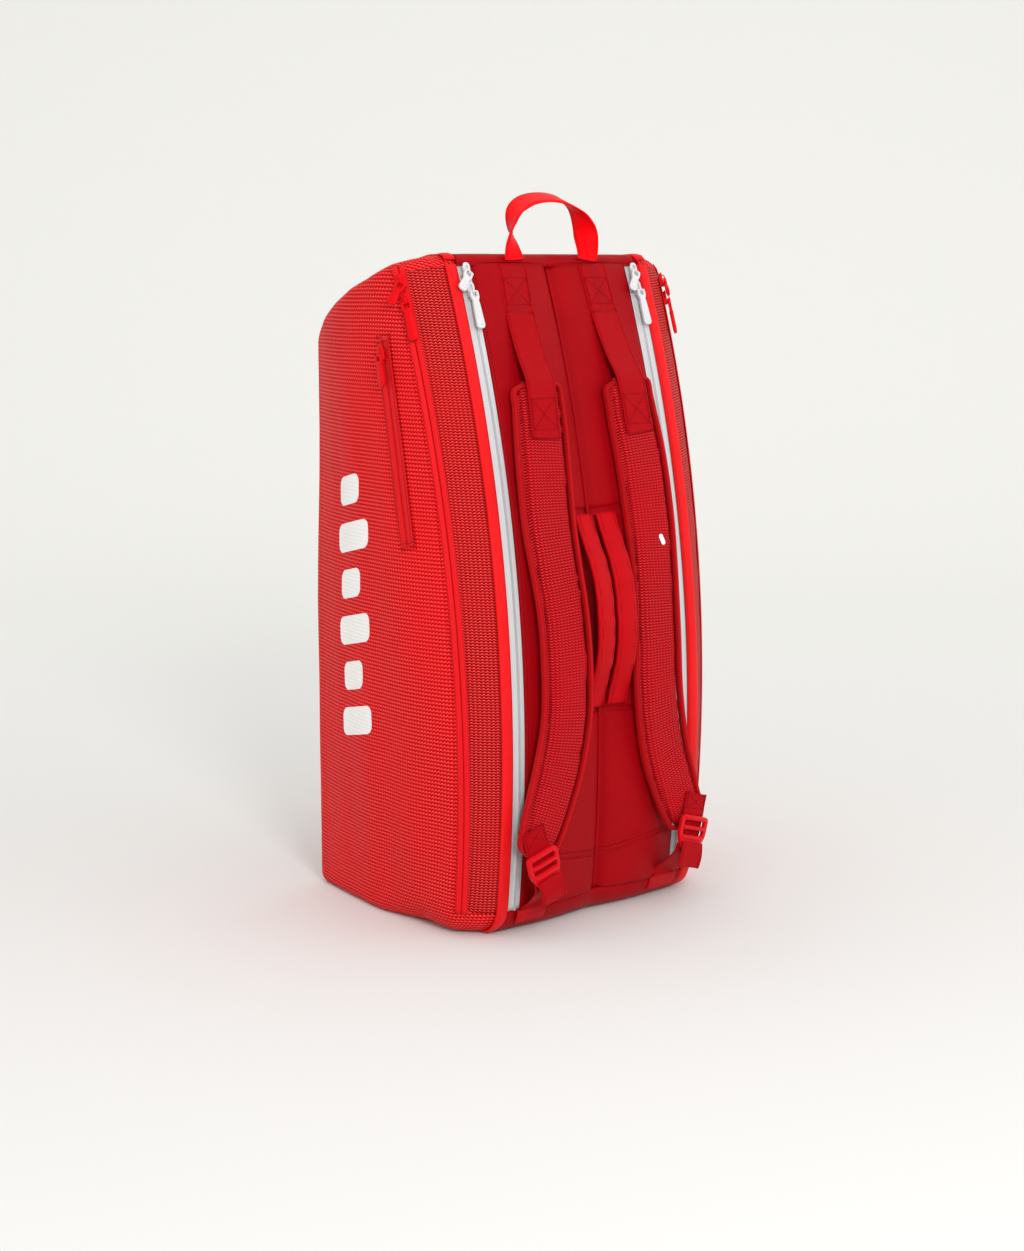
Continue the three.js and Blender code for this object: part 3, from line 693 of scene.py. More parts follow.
def beadsAlong(name, lines, material, sizes):  # lines: pairs of points and the way up at each point
    verts, edges, lifts = [], [], []
    for points, lift in lines:
        base = len(verts)
        lift = np.broadcast_to(np.asarray(lift, dtype=float), np.shape(points))
        verts += [tuple(p) for p in points]
        lifts += [tuple(p) for p in lift]
        edges += [(base + k, base + k + 1) for k in range(len(points) - 1)]
    mesh = bpy.data.meshes.new(name)
    mesh.from_pydata(verts, edges, [])
    up = mesh.attributes.new("lift", "FLOAT_VECTOR", "POINT")
    up.data.foreach_set("vector", np.asarray(lifts).ravel())
    obj = bpy.data.objects.new(name, mesh)
    bpy.context.scene.collection.objects.link(obj)
    mod = obj.modifiers.new("beads", "NODES")
    mod.node_group = beadTree
    ids = {item.name: item.identifier for item in beadTree.interface.items_tree if item.in_out == "INPUT"}
    for label, value in sizes.items():
        mod[ids[label]] = value
    mod[ids["Material"]] = materials[material]
    applyModifiers(obj)
    obj.data.polygons.foreach_set("use_smooth", [True] * len(obj.data.polygons))
    return obj


stitch = {"Spacing": 0.0032, "Length": 0.0024, "Width": 0.0008, "Height": 0.0007}
coil = {"Spacing": 0.0017, "Length": 0.0012, "Width": 0.0030, "Height": 0.0014}


# panels on the strap side
def frontGrid(sign, xOf, columns, heights, depth=0.10):  # points on the skin, rows square to the zips' circle
    a = arcAngle(np.asarray(heights))[:, None]
    t = np.linspace(0, 1, columns)[None, :]
    z = arc["z"] + arc["r"] * np.sin(a) + 0 * t
    x = xOf(t + 0 * a, z)
    inner = arc["r"] - depth
    origin = np.stack([sign * x, arc["y"] - inner * np.cos(a) + 0 * t, arc["z"] + inner * np.sin(a) + 0 * t],
                      -1)
    direction = np.stack([0 * x, -np.cos(a) + 0 * t, np.sin(a) + 0 * t], -1)
    return skinHit(origin, direction), x, z, direction


def evenHeights(step=0.005, extra=()):
    z = list(np.linspace(arc["low"] + gap, arc["high"] - gap, int(0.712 / step)))
    for low, high, fine in extra:
        z = [h for h in z if not low < h < high] + list(np.arange(low, high, fine))
    return np.array(sorted(z))


backLook = {"columns": 44, "crown": 0.0020, "valley": 0.0060, "sag": 0.0011, "seamDepth": 0.0012}


def lowSeam(x):
    return 0.0715 + 0.13 * np.abs(x)


handleSeams = (0.4680, 0.2420)
for side, sign in sides:
    heights = evenHeights(0.0046, ((0.064, 0.094, 0.0011), (0.458, 0.474, 0.0012), (0.234, 0.250, 0.0012)))
    pts, x, z, out = frontGrid(sign, lambda t, z: gap / 2 + (body["backEdge"] - gap)
                               * (0.5 - 0.5 * np.cos(math.pi * t)) * 0.35
                               + (body["backEdge"] - gap) * t * 0.65, backLook["columns"], heights)
    push = backLook["crown"] * np.sin(math.pi * np.clip(x / body["backEdge"], 0, 1)) ** 0.7
    push = push + backLook["sag"] * smoothNoise(pts * np.array([1.0, 1.0, 0.6]), 13.0, 4 + sign)
    push -= backLook["valley"] * np.exp(-(x / 0.0065) ** 2)
    push -= 0.0016 * np.exp(-((x - body["backEdge"]) / 0.0035) ** 2)
    for shift in (0.0, 0.0042):
        push -= backLook["seamDepth"] * np.exp(-((z - lowSeam(x) - shift) / 0.0012) ** 2)
    push += 0.0008 * np.exp(-((z - lowSeam(x) - 0.0021) / 0.0016) ** 2)
    for level in handleSeams:
        push -= 0.0032 * np.exp(-((z - level - 0.05 * x * np.sign(level - 0.35)) / 0.0030) ** 2) * np.exp(-(x
                / 0.075) ** 4)
    panel = sheetGrid(side + "_back_cloth", pts + out * push[..., None], 0.0032, (0, -1, 0))
    settle(panel, "bag", "smooth", "smooth_panel", side + "_back_panel", inside="lining")

    for part, edges, bodyName, look, node in (
            ("white_zip_inner", (body["backEdge"] + gap, body["whiteX"] - gap / 2), "bag", "whiteTape",
             "_white_zip_inner_tape"),
            ("white_zip_outer", (body["whiteX"] + gap / 2, body["bindIn"] - gap / 2), side + "_wing",
             "whiteTape", "_white_zip_outer_tape")):
        pts, x, z, out = frontGrid(sign, lambda t, z: edges[0] + (edges[1] - edges[0]) * t, 13,
                                   evenHeights(0.006))
        off = x - body["whiteX"]  # from the zip's middle line
        lift = -0.0016 + 0.0010 * np.exp(-(off / 0.0022) ** 2)
        lift = lift - 0.0004 * np.exp(-((np.abs(off) - 0.0040) / 0.0008) ** 2)
        uvs = np.stack([np.abs(x - body["whiteX"]), z], -1)
        tape = sheetGrid(side + "_" + part, pts + out * lift[..., None], 0.0012, (0, -1, 0), uvs=uvs)
        settle(tape, bodyName, look, "white_zip", side + node)
print("back panels and white zips made")


def redGrid(sign, s, heights):  # points on the red zip's tape, s metres across from its middle line
    a = arcAngle(np.asarray(heights), body["redDrop"])[:, None]
    s = np.asarray(s)[None, :]
    z = arc["z"] + (arc["r"] - body["redDrop"]) * np.sin(a) + 0 * s
    k = math.sqrt(0.5)
    x = redLine(z) + s * k
    r = arc["r"] - body["redDrop"] - s * k
    normal = np.stack([sign * k + 0 * z, -k * np.cos(a) + 0 * z, k * np.sin(a) + 0 * z], -1)
    p = np.stack([sign * x, arc["y"] - r * np.cos(a), arc["z"] + r * np.sin(a)], -1)
    return skinHit(p - normal * 0.03, normal), normal, z


for side, sign in sides:
    wing, cover = side + "_wing", side + "_cover"
    tapeEdge = body["redTape"] * math.sqrt(0.5)
    pts, x, z, out = frontGrid(sign, lambda t, z: 0.1495 + (redLine(z) - tapeEdge + 0.0028 - 0.1495) * t, 18,
                               evenHeights(0.005))
    t = (x - x[:, :1]) / (x[:, -1:] - x[:, :1])
    push = -0.0006 + 0.0012 * np.sin(math.pi * t) + 0.0006 * smoothNoise(pts, 16.0, 21 + sign)
    settle(sheetGrid(side + "_gusset_cloth", pts + out * push[..., None], 0.0028, (0, -1, 0)), wing, "mesh",
           "side_weave", side + "_gusset", inside="lining")
    for part, span, bodyName, node in (("inner", (-0.0070, -0.0002), wing, "_red_zip_inner_tape"),
                                       ("outer", (0.0002, 0.0070), cover, "_red_zip_outer_tape")):
        s = np.linspace(span[0], span[1], 9)
        pts, normal, z = redGrid(sign, s, evenHeights(0.006))
        lift = 0.0018 - 0.0006 * np.exp(-(s / 0.0014) ** 2)[None, :] + 0 * z
        uvs = np.stack([np.abs(s)[None, :] + 0 * z, z], -1)
        tape = sheetGrid(side + "_red_zip_" + part, pts + normal * lift[..., None], 0.0011, (sign, -1, 0),
                         uvs=uvs)
        settle(tape, bodyName, "redTape", "binding_tape", side + node)
print("gussets and red zips made")


# end panels and base, between the two outer walls
def fanGrid(k, centre, psi, setBack=gap):  # leaning columns k, directions psi in the y-z plane
    k, psi = np.asarray(k)[None, :], np.asarray(psi)[:, None]
    base = wallX(centre[0]) - setBack
    origin = np.stack([k * base + 0 * psi, centre[0] + 0 * k * psi, centre[1] + 0 * k * psi], -1)
    direction = np.stack([-k * body["wallSlope"] * np.cos(psi), np.cos(psi) + 0 * k, np.sin(psi) + 0 * k], -1)
    return skinHit(origin, direction)


def psiTo(centre, y, z):
    return math.atan2(z - centre[1], y - centre[0])


topCentre, lowCentre = (0.060, 0.600), (0.020, 0.120)
across = np.linspace(-1, 1, 57)
topPsi = np.linspace(psiTo(topCentre, float(frontY(0.7405)), 0.7405), psiTo(topCentre, 0.168, 0.628), 74)
lowPsi = np.linspace(psiTo(lowCentre, 0.168, 0.020), psiTo(lowCentre, float(frontY(0.0282)), 0.0282), 80)
for name, pts, towards, node, look, seed in (
        ("top_end_cloth", fanGrid(across, topCentre, topPsi), (0, 0.3, 1), "top_end_panel", "smooth", 31),
        ("bottom_end_cloth", fanGrid(across, lowCentre, lowPsi), (0, 0, -1), "bottom_end_panel", "smooth",
         32)):
    ease = np.sin(math.pi * np.linspace(0, 1, pts.shape[0]))[:, None]
    sag = (0.0014 * smoothNoise(pts, 9.0, seed) - (0.0010 if name[0] == "t" else 0)) * ease
    rise = 1 if name[0] == "t" else 0
    pts = pts + np.stack([0 * sag, 0 * sag, sag * rise], -1)
    pts[..., 2] = np.maximum(pts[..., 2], 0.0006)
    piece = sheetGrid(name, pts, 0.0034, towards)
    settle(piece, "bag", look, "smooth_panel", node, inside="lining")
z = np.linspace(0.0202, 0.6278, 118)[:, None]
k = across[None, :]
origin = np.stack([k * (wallX(0.0) - gap) + 0 * z, 0 * k * z, z + 0 * k], -1)
pts = skinHit(origin, np.stack([-k * body["wallSlope"] + 0 * z, 1 + 0 * k * z, 0 * k * z], -1))
pts[..., 1] -= 0.0009 * (1 + smoothNoise(pts, 7.0, 33))
settle(sheetGrid("base_cloth", pts, 0.0034, (0, 1, 0)), "bag", "mesh", "side_weave", "base_panel",
       inside="lining")

rollSize = 0.0022
ends = []
for level in (arc["high"],):  # a thin roll over the join with the top panel
    reach = 0.1350
    pts, x, z, out = frontGrid(1, lambda t, z: -reach + 2 * reach * t, 70, np.array([level, level]))
    path = pts[0] - out[0] * 0.0006
    path = path + out[0] * (-0.0030 * np.exp(-(x[0] / 0.0065) ** 2))[:, None]
    ends.append(sweep("seam", path, (0, 0.3, 1), flatBand(rollSize, 0.0018, 4)))
    ends[-1].data.materials.append(materials["smooth"])
heights = np.linspace(arc["low"], arc["high"], 130)
pts, x, z, out = frontGrid(1, lambda t, z: 0 * t, 2, heights)
ends.append(sweep("seam", pts[:, 0] - out[:, 0] * (backLook["valley"] - 0.0012), (1, 0, 0),
                  flatBand(0.0044, 0.0030, 5)))
ends[-1].data.materials.append(materials["smooth"])
for level in (0.020, 0.628):
    path = np.stack([np.linspace(-0.1115, 0.1115, 30), np.full(30, 0.1682), np.full(30, level)], -1)
    ends.append(sweep("seam", path, (0, 0, 1), flatBand(0.006, 0.0018, 4)))
    ends[-1].data.materials.append(materials["twill"])
settle(joined("end_seams", ends), "bag", None, "smooth_panel")
print("ends and base made")


# the two side panels, one sheet each from the red zip round to the base and over both ends
domeLook = {"yA": -0.020, "yB": 0.090, "zA": 0.090, "zB": 0.600, "columns": (42, 26, 24),
            "rows": (24, 104, 36), "sag": 0.0016, "wall": 0.0034}


def domeGrid(sign, look):
    def spread(counts, a, b):
        first, middle, last = counts
        lean = np.concatenate([np.linspace(-1, 0, first, endpoint=False), np.zeros(middle),
                               np.linspace(0, 1, last)])
        place = np.concatenate([np.full(first, a), np.linspace(a, b, middle, endpoint=False),
                                np.full(last, b)])
        return np.sign(lean) * np.sin(np.abs(lean) * math.pi / 2) * 0.5 + lean * 0.5, place
    alpha, y = spread(look["columns"], look["yA"], look["yB"])
    beta, z = spread(look["rows"], look["zA"], look["zB"])
    alpha, y, beta, z = alpha[None, :], y[None, :], beta[:, None], z[:, None]
    slope = body["wallSlope"]
    length = math.hypot(1, slope)
    n = np.array([sign, slope, 0]) / length
    ey = np.array([-sign * slope, 1, 0]) / length
    ez = np.array([0, 0, 1.0])
    one = np.ones_like(alpha * beta)
    d = (np.sqrt(np.clip((1 - alpha ** 2) * (1 - beta ** 2), 0, 1)) * one)[..., None] * n
    d = d + (alpha * np.sqrt(1 - beta ** 2 / 2))[..., None] * ey + (beta * np.sqrt(1 - alpha ** 2 / 2))[...,
            None] * ez
    x = sign * (wallX(y) + body["wallThick"] + gap)
    origin = np.stack([x * one, y * one, z * one], -1)
    return skinHit(origin, d), d


def zipSide(p):  # metres behind the red zip's middle line, and the height along the zips
    drop = arc["r"] - np.hypot(p[..., 1] - arc["y"], p[..., 2] - arc["z"])
    turn = np.arctan2(p[..., 2] - arc["z"], arc["y"] - p[..., 1])
    level = arc["z"] + (arc["r"] - body["redDrop"]) * np.sin(turn)
    return (np.abs(p[..., 0]) - redLine(level) + drop - body["redDrop"]) * math.sqrt(0.5), turn


for side, sign in sides:
    pts, d = domeGrid(sign, domeLook)
    behind, turn = zipSide(pts)
    inFront = (behind < 0.0030) & (turn > arcAngle(arc["low"] - 0.0004)) & (turn < arcAngle(arc["high"]
            + 0.0004))
    corner = inFront[:-1, :-1] & inFront[1:, :-1] & inFront[:-1, 1:] & inFront[1:, 1:]
    near = np.clip((behind - 0.004) / 0.03, 0, 1)
    edge = np.minimum.outer(np.minimum(np.arange(pts.shape[0]), np.arange(pts.shape[0])[::-1]) / 14,
                            np.minimum(np.arange(pts.shape[1]), np.arange(pts.shape[1])[::-1]) / 14)
    calm = np.clip(edge, 0, 1) * near
    sag = domeLook["sag"] * smoothNoise(pts * np.array([1, 1, 0.7]), 8.0, 40 + sign) * calm
    if sign < 0:
        sag = sag * (1 - np.exp(-((pts[..., 1] + 0.0445) / 0.05) ** 4 - ((pts[..., 2] - 0.548) / 0.14) ** 4))
    length = np.linalg.norm(d, axis=-1, keepdims=True)
    u, v = arcLengths(pts)
    v = v - v[60][None, :] + pts[60, 60, 2]
    piece = sheetGrid(side + "_side_cloth", pts + d / length * sag[..., None], domeLook["wall"], (sign, 0, 0),
                      keep=~corner,
                      uvs=np.stack([u, v], -1))
    settle(piece, side + "_cover", "side", "side_weave", side + "_side_panel", inside="lining")
print("side panels made")


# binding that runs round each outer wall, broad on the strap side and slim round the ends
bindLook = {"frontX": 0.14375, "width": 0.0158, "slim": 0.0098, "rise": 0.0028, "under": 0.0012}
for side, sign in sides:
    heights = np.linspace(arc["high"], arc["low"], 120)
    pts, x, z, out = frontGrid(sign, lambda t, z: bindLook["frontX"] + 0 * t, 2, heights)
    lead = np.stack([np.full(120, sign * bindLook["frontX"]), pts[:, 0, 1], pts[:, 0, 2]], -1)
    rim = body["wallThick"] / 2 + gap
    low = fanGrid([sign], lowCentre, lowPsi[::-1][1:], -rim)[:, 0]
    rise = np.stack([np.full(90, sign * (body["wallBase"] + rim)), np.full(90, 0.168),
                     np.linspace(0.024, 0.624, 90)], -1)
    top = fanGrid([sign], topCentre, topPsi[::-1], -rim)[:, 0][:-1]
    for part, first in ((low, True), (top, False)):
        ramp = np.clip(np.arange(len(part)) / 6, 0, 1) if first else np.clip(np.arange(len(part))[::-1] / 6,
                0, 1)
        ramp = ramp * ramp * (3 - 2 * ramp)
        part[:, 0] = part[:, 0] * ramp + sign * bindLook["frontX"] * (1 - ramp)
    path = np.concatenate([lead, low, rise, top])
    step = np.linalg.norm(np.diff(path, axis=0), axis=1)
    path = path[np.concatenate([[True], step > 0.0008])]
    path = spline(path, 420)
    path[:, 2] = np.maximum(path[:, 2], 0.0022)
    wide = np.clip((frontY(np.clip(path[:, 2], 0.03, 0.74)) + 0.030 - path[:, 1]) / 0.03, 0, 1)

    def bindProfile(t):
        w = bindLook["slim"] + (bindLook["width"] - bindLook["slim"]) * float(np.interp(t * 419,
                np.arange(420), wide))
        rise = bindLook["rise"] * (0.45 + 0.45 * (w - bindLook["slim"])
                                   / (bindLook["width"] - bindLook["slim"]))
        a = np.linspace(0, math.pi, 11)
        topSide = np.stack([w / 2 * np.cos(a), rise * np.sin(a) ** 0.6], -1)
        return np.concatenate([topSide, [(-w / 2 * 0.92, -bindLook["under"]),
                                         (w / 2 * 0.92, -bindLook["under"])]])

    piece = sweep(side + "_binding_cloth", path, (1, 0, 0), bindProfile)
    settle(piece, side + "_wing", "bright", "binding_tape", side + "_binding")
    # a tab closes the corner between the zip's top end and the binding
    psi = np.linspace(psiTo(topCentre, float(frontY(0.735)), 0.735), psiTo(topCentre, -0.036, 0.752), 9)
    tab = fanGrid(sign * np.linspace(0.92, 1.22, 12), topCentre, psi)
    tab -= 0.0044 * np.stack([0 * psi, np.cos(psi), np.sin(psi)], -1)[:, None]
    settle(sheetGrid(side + "_corner_tab", tab, 0.0009, (0, -0.5, 1)), side + "_wing", "bright",
           "binding_tape")
print("bindings made")


# the three walls inside
def board(name, xOf, margin, thick):
    centre = (0.0, 0.36)
    angles = np.linspace(0, 2 * math.pi, 97)[:-1]
    direction = np.stack([0 * angles, np.cos(angles), np.sin(angles)], -1)
    origin = np.tile([0.0, centre[0], centre[1]], (96, 1))
    rim = skinHit(origin, direction) - direction * margin
    verts, faces = [], []
    rings = 15
    for face in (1, -1):
        for t in np.linspace(0, 1, rings)[1:]:
            y, z = centre[0] + (rim[:, 1] - centre[0]) * t, centre[1] + (rim[:, 2] - centre[1]) * t
            puff = thick / 2 * (1 - 0.75 * t ** 10) + 0.0003 * np.sin(z * 90) * np.sin(y * 90)
            verts += list(zip(xOf(y) + face * puff, y, z))
        verts.append((xOf(centre[0]) + face * thick / 2, centre[0], centre[1]))
    block = 96 * (rings - 1) + 1
    for f in (0, 1):
        for i in range(rings - 2):
            for j in range(96):
                a, b = f * block + i * 96 + j, f * block + i * 96 + (j + 1) % 96
                faces.append((a, b, b + 96, a + 96))
        for j in range(96):
            faces.append((f * block + block - 1, f * block + j, f * block + (j + 1) % 96))
    for j in range(96):
        a, b = 96 * (rings - 2) + j, 96 * (rings - 2) + (j + 1) % 96
        faces.append((a, b, block + b, block + a))
    uvs = np.array([(v[1], v[2]) for v in verts])
    return faceOut(finishMesh(name, verts, faces, uvs))


settle(board("centre_wall", lambda y: 0 * y, 0.0075, 0.0052), "bag", "lining", "lining", "centre_divider")
for side, sign in sides:
    lean = lambda y: sign * (wallX(y) + gap + (body["wallThick"] - gap) / 2)
    settle(board(side + "_wall", lean, 0.0060, 0.0050), side + "_wing", "lining", "lining", side + "_divider")
print("inner walls made")

# zip teeth, stitches along the panels
def frontLine(sign, xAt, heights, lift):
    pts, _, _, out = frontGrid(sign, lambda t, z: xAt(z) + 0 * t, 2, heights)
    return pts[:, 0] + out[:, 0] * lift, out[:, 0]


def redSeam(sign, s, heights, lift):
    pts, normal, _ = redGrid(sign, [s], heights)
    return pts[:, 0] + normal[:, 0] * lift, normal[:, 0]


pitch = coil["Spacing"]
long = evenHeights(0.010)
for side, sign in sides:
    for part, shift, offset, bodyName in (("inner", -0.00085, 0.0, "bag"),
                                          ("outer", 0.00085, pitch / 2, side + "_wing")):
        run = np.linspace(arc["low"] + 0.001 + offset, arc["high"] - 0.002, 240)
        teeth = beadsAlong(side + "_white_teeth_" + part,
                           [frontLine(sign, lambda z: body["whiteX"] + shift + 0 * z, run, 0.0002)],
                           "whiteCoil", dict(coil, Width=0.0021))
        settle(teeth, bodyName, None, "white_zip")
    for part, shift, offset, bodyName in (("inner", -0.00085, 0.0, side + "_wing"),
                                          ("outer", 0.00085, pitch / 2, side + "_cover")):
        run = np.linspace(arc["low"] + 0.001 + offset, arc["high"] - 0.002, 240)
        teeth = beadsAlong(side + "_red_teeth_" + part, [redSeam(sign, shift, run, 0.0011)], "redCoil",
                           dict(coil, Width=0.0021))
        settle(teeth, bodyName, None, "binding_tape")
    backLines = [frontLine(sign, lambda z: 0.1136 + 0 * z, long, 0.0009)]
    for shift in (-0.0016, 0.0058):
        x = np.linspace(0.003, 0.1135, 40)
        pts = []
        for value in x:
            point, up = frontLine(sign, lambda z: value + 0 * z, np.array([lowSeam(value) + shift]), 0.0018)
            pts.append(point[0])
        backLines.append((np.array(pts), (0, -1, 0.1)))
    settle(beadsAlong(side + "_back_stitches", backLines, "thread", stitch), "bag", None, "smooth_panel")
    wingLines = [frontLine(sign, lambda z: bindLook["frontX"] + 0.0060 + 0 * z, long,
                           bindLook["rise"] * 0.72),
                 frontLine(sign, lambda z: bindLook["frontX"] - 0.0060 + 0 * z, long,
                           bindLook["rise"] * 0.72),
                 redSeam(sign, -0.0058, long, 0.0018)]
    settle(beadsAlong(side + "_wing_stitches", wingLines, "brightThread", stitch), side + "_wing", None,
           "binding_tape")
    coverLines = [redSeam(sign, 0.0058, long, 0.0018), redSeam(sign, 0.0098, long, 0.0006)]
    settle(beadsAlong(side + "_cover_stitches", coverLines, "brightThread", stitch), side + "_cover", None,
           "binding_tape")
print("zip teeth and seams stitched")


# flat moulded and stamped plates, with their places in the mesh
def plate(name, outlines, thick, bevel, frameMatrix):  # outlines in x-z, thickness along y
    curve = bpy.data.curves.new(name, "CURVE")
    curve.dimensions, curve.fill_mode = "2D", "BOTH"
    curve.extrude, curve.offset = thick / 2 - bevel, -bevel
    curve.bevel_depth, curve.bevel_resolution = bevel, 2
    for outline in outlines:
        line = curve.splines.new("POLY")
        line.points.add(len(outline) - 1)
        for k, (x, z) in enumerate(outline):
            line.points[k].co = (x, z, 0, 1)
        line.use_cyclic_u = True
    holder = bpy.data.objects.new(name, curve)
    bpy.context.scene.collection.objects.link(holder)
    graph = bpy.context.evaluated_depsgraph_get()
    mesh = bpy.data.meshes.new_from_object(holder.evaluated_get(graph), depsgraph=graph)
    bpy.data.objects.remove(holder)
    # drawn flat, stood up in x-z
    turn = np.array([[1, 0, 0, 0], [0, 0, -1, 0], [0, 1, 0, 0], [0, 0, 0, 1]], dtype=float)
    place(mesh, frameMatrix @ turn)
    obj = bpy.data.objects.new(name, mesh)
    bpy.context.scene.collection.objects.link(obj)
    faceOut(obj)
    obj.data.polygons.foreach_set("use_smooth", [True] * len(obj.data.polygons))
    obj.data.set_sharp_from_angle(angle=math.radians(38))
    return obj


def place(mesh, m):
    co = np.zeros(len(mesh.vertices) * 3)
    mesh.vertices.foreach_get("co", co)
    co = co.reshape(-1, 3) @ m[:3, :3].T + m[:3, 3]
    mesh.vertices.foreach_set("co", co.ravel())
    mesh.update()


def roundBox(x0, x1, z0, z1, r, steps=5):
    pts = []
    for cx, cz, start in ((x1 - r, z1 - r, 0), (x0 + r, z1 - r, 90), (x0 + r, z0 + r, 180),
                          (x1 - r, z0 + r, 270)):
        for k in range(steps + 1):
            a = math.radians(start + 90 * k / steps)
            pts.append((cx + r * math.cos(a), cz + r * math.sin(a)))
    return pts


def roundPoly(corners, r, steps=4):  # corners rounded with quadratic curves
    pts = []
    n = len(corners)
    for k in range(n):
        p, before, after = (np.array(corners[i % n], dtype=float) for i in (k, k - 1, k + 1))
        a = p + (before - p) / np.linalg.norm(before - p) * min(r, np.linalg.norm(before - p) / 2)
        b = p + (after - p) / np.linalg.norm(after - p) * min(r, np.linalg.norm(after - p) / 2)
        for t in np.linspace(0, 1, steps + 1):
            pts.append(tuple((1 - t) ** 2 * a + 2 * t * (1 - t) * p + t ** 2 * b))
    return pts


def shift(x, y, z):
    m = np.eye(4)
    m[:3, 3] = (x, y, z)
    return m


def turnAbout(axis, angle):
    c, s = math.cos(angle), math.sin(angle)
    m = np.eye(4)
    i, j = {"x": (1, 2), "y": (2, 0), "z": (0, 1)}[axis]
    m[i, i], m[i, j], m[j, i], m[j, j] = c, -s, s, c
    return m


def tube(name, path, across, width, thick, m=None):
    a = np.linspace(0, 2 * math.pi, 11)[:-1]
    obj = sweep(name, path, across, np.stack([width / 2 * np.cos(a), thick / 2 * np.sin(a)], -1))
    if m is not None:
        place(obj.data, m)
    return obj


# sliders and pullers, drawn in their own frames
sliderLook = {"width": 0.0100, "length": 0.0170, "plate": 0.0016, "bridge": 0.0024,
              "eye": (0, -0.007, -0.003)}
pullerLook = {"width": 0.0114, "thick": 0.0036, "neck": 0.0072}


def makeSlider(name, bodyName, m, look, slot, finish):
    w, h = look["width"] / 2, look["length"] / 2
    outline = roundPoly([(-w, h * 0.55), (-w * 0.62, h), (w * 0.62, h), (w, h * 0.55), (w * 0.80, -h * 0.2),
                         (w * 0.86, -h), (-w * 0.86, -h), (-w * 0.80, -h * 0.2)], 0.003)
    parts = [plate(name, [outline], look["plate"], 0.0005, m @ shift(0, -0.0041, 0)),
             plate(name, [roundBox(-w * 0.42, w * 0.42, -h * 0.86, h * 0.86, 0.0015)], 0.0030, 0.0004,
                   m @ shift(0, -0.0028, 0))]
    for edge in (-1, 1):
        rail = [(edge * w * 0.90, -0.0030, h * 0.5), (edge * w * 0.80, -0.0030, 0),
                (edge * w * 0.78, -0.0030, -h * 0.92)]
        parts.append(tube(name, spline(rail, 14), (0, 1, 0), 0.0034, 0.0014, m))
    arch = spline([(0, -0.0042, 0.0056), (0, -0.0072, 0.0040), (0, -0.0080, -0.0005), (0, -0.0076, -0.0040),
                   (0, -0.0045, -0.0058)], 22)
    parts.append(tube(name, arch, (1, 0, 0), look["bridge"], 0.0012, m))
    piece = joined(name + "_shape", parts)
    settle(piece, bodyName, finish, slot, name)


def makePuller(name, bodyName, m, length, look, slot, finish):
    w, neck = look["width"] / 2, look["neck"] / 2
    outline = roundPoly([(-w, 0.0008), (w, 0.0008), (w, -0.0078), (neck, -0.0105), (w * 0.80, -0.0145),
                         (w * 0.98, -length + 0.003),
                         (w * 0.62, -length), (-w * 0.62, -length), (-w * 0.98, -length + 0.003),
                         (-w * 0.80, -0.0145), (-neck, -0.0105), (-w, -0.0078)], 0.0024)
    hole = roundBox(-0.0030, 0.0030, -0.0062, -0.0008, 0.0012)
    parts = [plate(name, [outline, hole], look["thick"], 0.0008, m)]
    for face in (-1, 1):
        rib = roundBox(-w * 0.52, w * 0.52, -length + 0.0035, -0.0150, 0.0016)
        parts.append(plate(name, [rib], 0.0009, 0.0003, m @ shift(0, face * look["thick"] / 2, 0)))
    piece = joined(name + "_shape", parts)
    settle(piece, bodyName, finish, slot, name)


def onZips(sign, x, drop, z, tip, flare):
    r = arc["r"] - drop
    a = math.asin((z - arc["z"]) / r)
    return (shift(sign * x, arc["y"], arc["z"]) @ turnAbout("y", sign * flare) @ turnAbout("x", -a) @ shift(0,
            -r, 0)
            @ turnAbout("z", sign * tip))


eye = shift(*sliderLook["eye"])
redMiddle = body["redX"] - body["flare"] * (body["middleZ"] - arc["z"])
zipPulls = []
for side, sign in sides:
    zipPulls += [
        (side + "_white_upper", onZips(sign, body["whiteX"], 0, 0.733, 0, 0), 38 if sign < 0 else 30, 0.026,
         "white_metal", "whiteMetal"),
        (side + "_white_lower", onZips(sign, body["whiteX"], 0, 0.712, 0, 0), 0, 0.042, "white_metal",
         "whiteMetal"),
        (side + "_red_upper", onZips(sign, redMiddle, 0.0265, 0.722, math.radians(47),
                                     math.atan(body["flare"])), 42, 0.026, "red_metal", "redMetal"),
        (side + "_red_lower", onZips(sign, redMiddle, 0.0265, 0.701, math.radians(47),
                                     math.atan(body["flare"])), 0, 0.042, "red_metal", "redMetal")]
joints = {joint["name"]: joint for joint in frame["joints"]}


def pocketPlace():  # across, inwards and up the pocket's zip, from the slider's travel and the puller's pin
    up = -np.array(joints["pocket_travel"]["axis"])
    across = -np.array(joints["pocket_puller_lift"]["axis"])
    inwards = np.cross(up, across)
    m = np.eye(4)
    m[:3, 0], m[:3, 1], m[:3, 2] = across, inwards, up
    m[:3, 3] = np.array(joints["pocket_puller_lift"]["pos_m"]) - m[:3, :3] @ np.array(sliderLook["eye"])
    return m


zipPulls.append(("pocket", pocketPlace(), 0, 0.034, "red_metal", "redMetal"))
for name, m, swing, length, slot, finish in zipPulls:
    makeSlider(name + "_slider", name + "_slider", m, sliderLook, slot, finish)
    makePuller(name + "_puller", name + "_puller", m @ eye @ turnAbout("y", math.radians(swing)), length,
               pullerLook, slot, finish)
print("sliders and pullers made")


